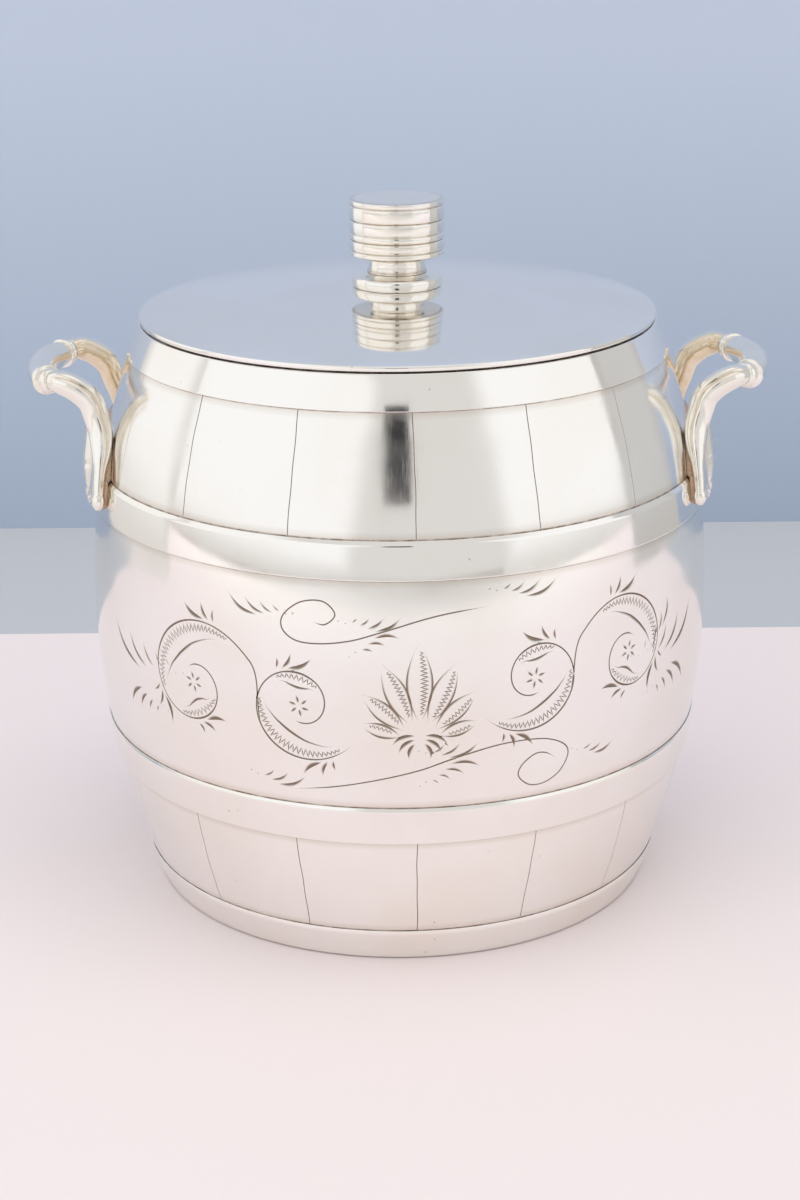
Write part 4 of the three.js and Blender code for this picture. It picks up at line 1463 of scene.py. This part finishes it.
# Each reflector: its middle, its half size across and up, and the strengths of its edges and its middle
REFLECTORS = {
    "left": ((-0.31, 0.07, 0.26), (0.038, 0.11, 0), (0, 0, 0.22), (ROOM_GLOW, SOFTBOX_GLOW)),
    "right": ((0.33, 0.05, 0.24), (-0.03, 0.08, 0), (0, 0, 0.2), (0.54, 0.62)),
}
REFLECTOR_SOFTNESS = 0.4


def glow_card(name, middle, half_across, half_up, soft_share, strengths=(ROOM_GLOW, SOFTBOX_GLOW)):
    """A card that only polished metal shows: its brightness rises from that of its edges to that of its
    middle, over a share of its half size."""
    steps = np.linspace(-1, 1, GLOW_STEPS)
    across, up = (part.ravel() for part in np.meshgrid(steps, steps))
    points = np.array(middle) + np.outer(across, half_across) + np.outer(up, half_up)
    card = add_mesh(name, points, grid_faces(GLOW_STEPS, GLOW_STEPS, wrap_columns=False))
    inward = np.minimum(1 - np.abs(across), 1 - np.abs(up)) / soft_share
    mark(card, "glow", np.sin(0.5 * math.pi * np.clip(inward, 0, 1)) ** 2)
    material, tree, shader = new_finish(f"{name}_glow")
    tree.nodes.remove(shader)
    glow = marked(tree, "glow")
    light = add_node(tree, "Emission", {
        "Color": mixed(tree, glow, ROOM_WHITE, (1, 1, 1, 1)),
        "Strength": ranged(tree, glow, 0.0, 1.0, *strengths),
    })
    tree.links.new(light.outputs[0], tree.nodes["Material Output"].inputs["Surface"])
    card.data.materials.append(material)
    for kind in ("camera", "diffuse", "shadow", "transmission", "volume_scatter"):
        setattr(card, f"visible_{kind}", False)


def mirrored_softbox(name, lamp, soft_share):
    """Puts a glow card in the place of a softbox, for what polished metal shows of it."""
    matrix = np.array(lamp.matrix_world)
    size = np.array([lamp.data.size, lamp.data.size_y]) * (0.5 + 0.25 * soft_share)
    lamp.visible_glossy = False
    glow_card(name, matrix[:3, 3], size[0] * matrix[:3, 0], size[1] * matrix[:3, 1], soft_share)


def shade_colour(tree):
    """The camera's dark tone: near black above and grey below."""
    return colour_run(tree, "Z", SHADE_SPAN, SHADE_GREY, SHADE_BLACK)


def see_through_from_behind(piece):
    """Lets a camera behind a staged surface look through it."""
    tree = piece.data.materials[0].node_tree
    shader = tree.nodes["Principled BSDF"]
    behind = add_node(tree, "NewGeometry").outputs["Backfacing"]
    clear = add_node(tree, "BsdfTransparent").outputs[0]
    blend = add_node(tree, "MixShader", {0: behind, 1: shader.outputs[0], 2: clear})
    tree.links.new(blend.outputs[0], tree.nodes["Material Output"].inputs["Surface"])


def floor_colour(tree):
    """The floor's tone: a pale pink that turns paler towards the camera, painted light that brightens what
    the belly mirrors, and grey beyond it.
    """
    near = colour_run(tree, "Y", NEAR_FLOOR_SPAN, FLOOR_PAINTED_LIGHT, FLOOR_PINK)
    return colour_run(tree, "Y", FRONT_FLOOR_SPAN, FLOOR_FAR, near)


def far_floor_colour(tree):
    """The floor behind the barrel: blue-grey, a little deeper in slow patches."""
    return mixed(tree, patches(tree, 9.0, 3.0, 0.3, 0.7, 0.0, 1.0), FLOOR_GREY, FLOOR_GREY_DEEP)


def backdrop_colour(tree):
    """The backdrop's tone: a soft blue that is deeper at its foot."""
    return colour_run(tree, "Z", BACKDROP_SPAN, BACKDROP_DEEP, BACKDROP_BLUE)


def make_stage():
    """A pale pink floor that turns blue-grey behind the barrel, a soft blue backdrop and a white room, lit by
    wide softboxes on both sides and above. Cards that only reflections show stand for the softboxes, for
    pale surfaces at the sides and for the dark camera."""
    stage_plane("floor", strip(STAGE_SIDES, FLOOR_NEAR_EDGE, CLOTH_END), 0.8, floor_colour)
    stage_plane("floor_behind", strip(STAGE_SIDES, CLOTH_END, WALL_FOOT), 0.7, far_floor_colour)
    backdrop = stage_plane("backdrop", strip(STAGE_SIDES, WALL_FOOT, BACKDROP_TOP), 0.8, backdrop_colour)
    see_through_from_behind(backdrop)
    camera_shade = stage_plane("camera_shade", strip(SHADE_SIDES, SHADE_FOOT, SHADE_TOP), 0.9, shade_colour)
    camera_shade.visible_camera = False
    camera_shade.visible_shadow = False
    world = bpy.data.worlds.new("room_light")
    bpy.context.scene.world = world
    world.use_nodes = True
    back = world.node_tree.nodes["Background"]
    back.inputs["Color"].default_value = ROOM_WHITE
    back.inputs["Strength"].default_value = ROOM_GLOW
    for side, (place, size, power, soft_share) in SOFTBOXES.items():
        lamp = softbox(f"{side}_softbox", place, size, power)
        mirrored_softbox(f"{side}_glow", lamp, soft_share)
    for side, (middle, half_across, half_up, strengths) in REFLECTORS.items():
        glow_card(f"{side}_reflector", middle, half_across, half_up, REFLECTOR_SOFTNESS, strengths)


def make_camera():
    """The photograph's view: straight from the front, tilted down and rolled a little."""
    data = bpy.data.cameras.new("view")
    data.lens = CAMERA_LENS
    data.sensor_width = CAMERA_SENSOR
    camera = bpy.data.objects.new("view", data)
    bpy.context.scene.collection.objects.link(camera)
    place = Matrix.Translation((0, -CAMERA_DISTANCE, CAMERA_HEIGHT))
    tilt = Matrix.Rotation(math.pi / 2 - CAMERA_TILT, 4, "X")
    camera.matrix_world = place @ tilt @ Matrix.Rotation(CAMERA_ROLL, 4, "Z")
    bpy.context.scene.camera = camera


make_camera()
make_barrel()
make_lid()
make_handle("right", False)
make_handle("left", True)
make_stage()
bpy.context.scene.view_settings.view_transform = "Standard"
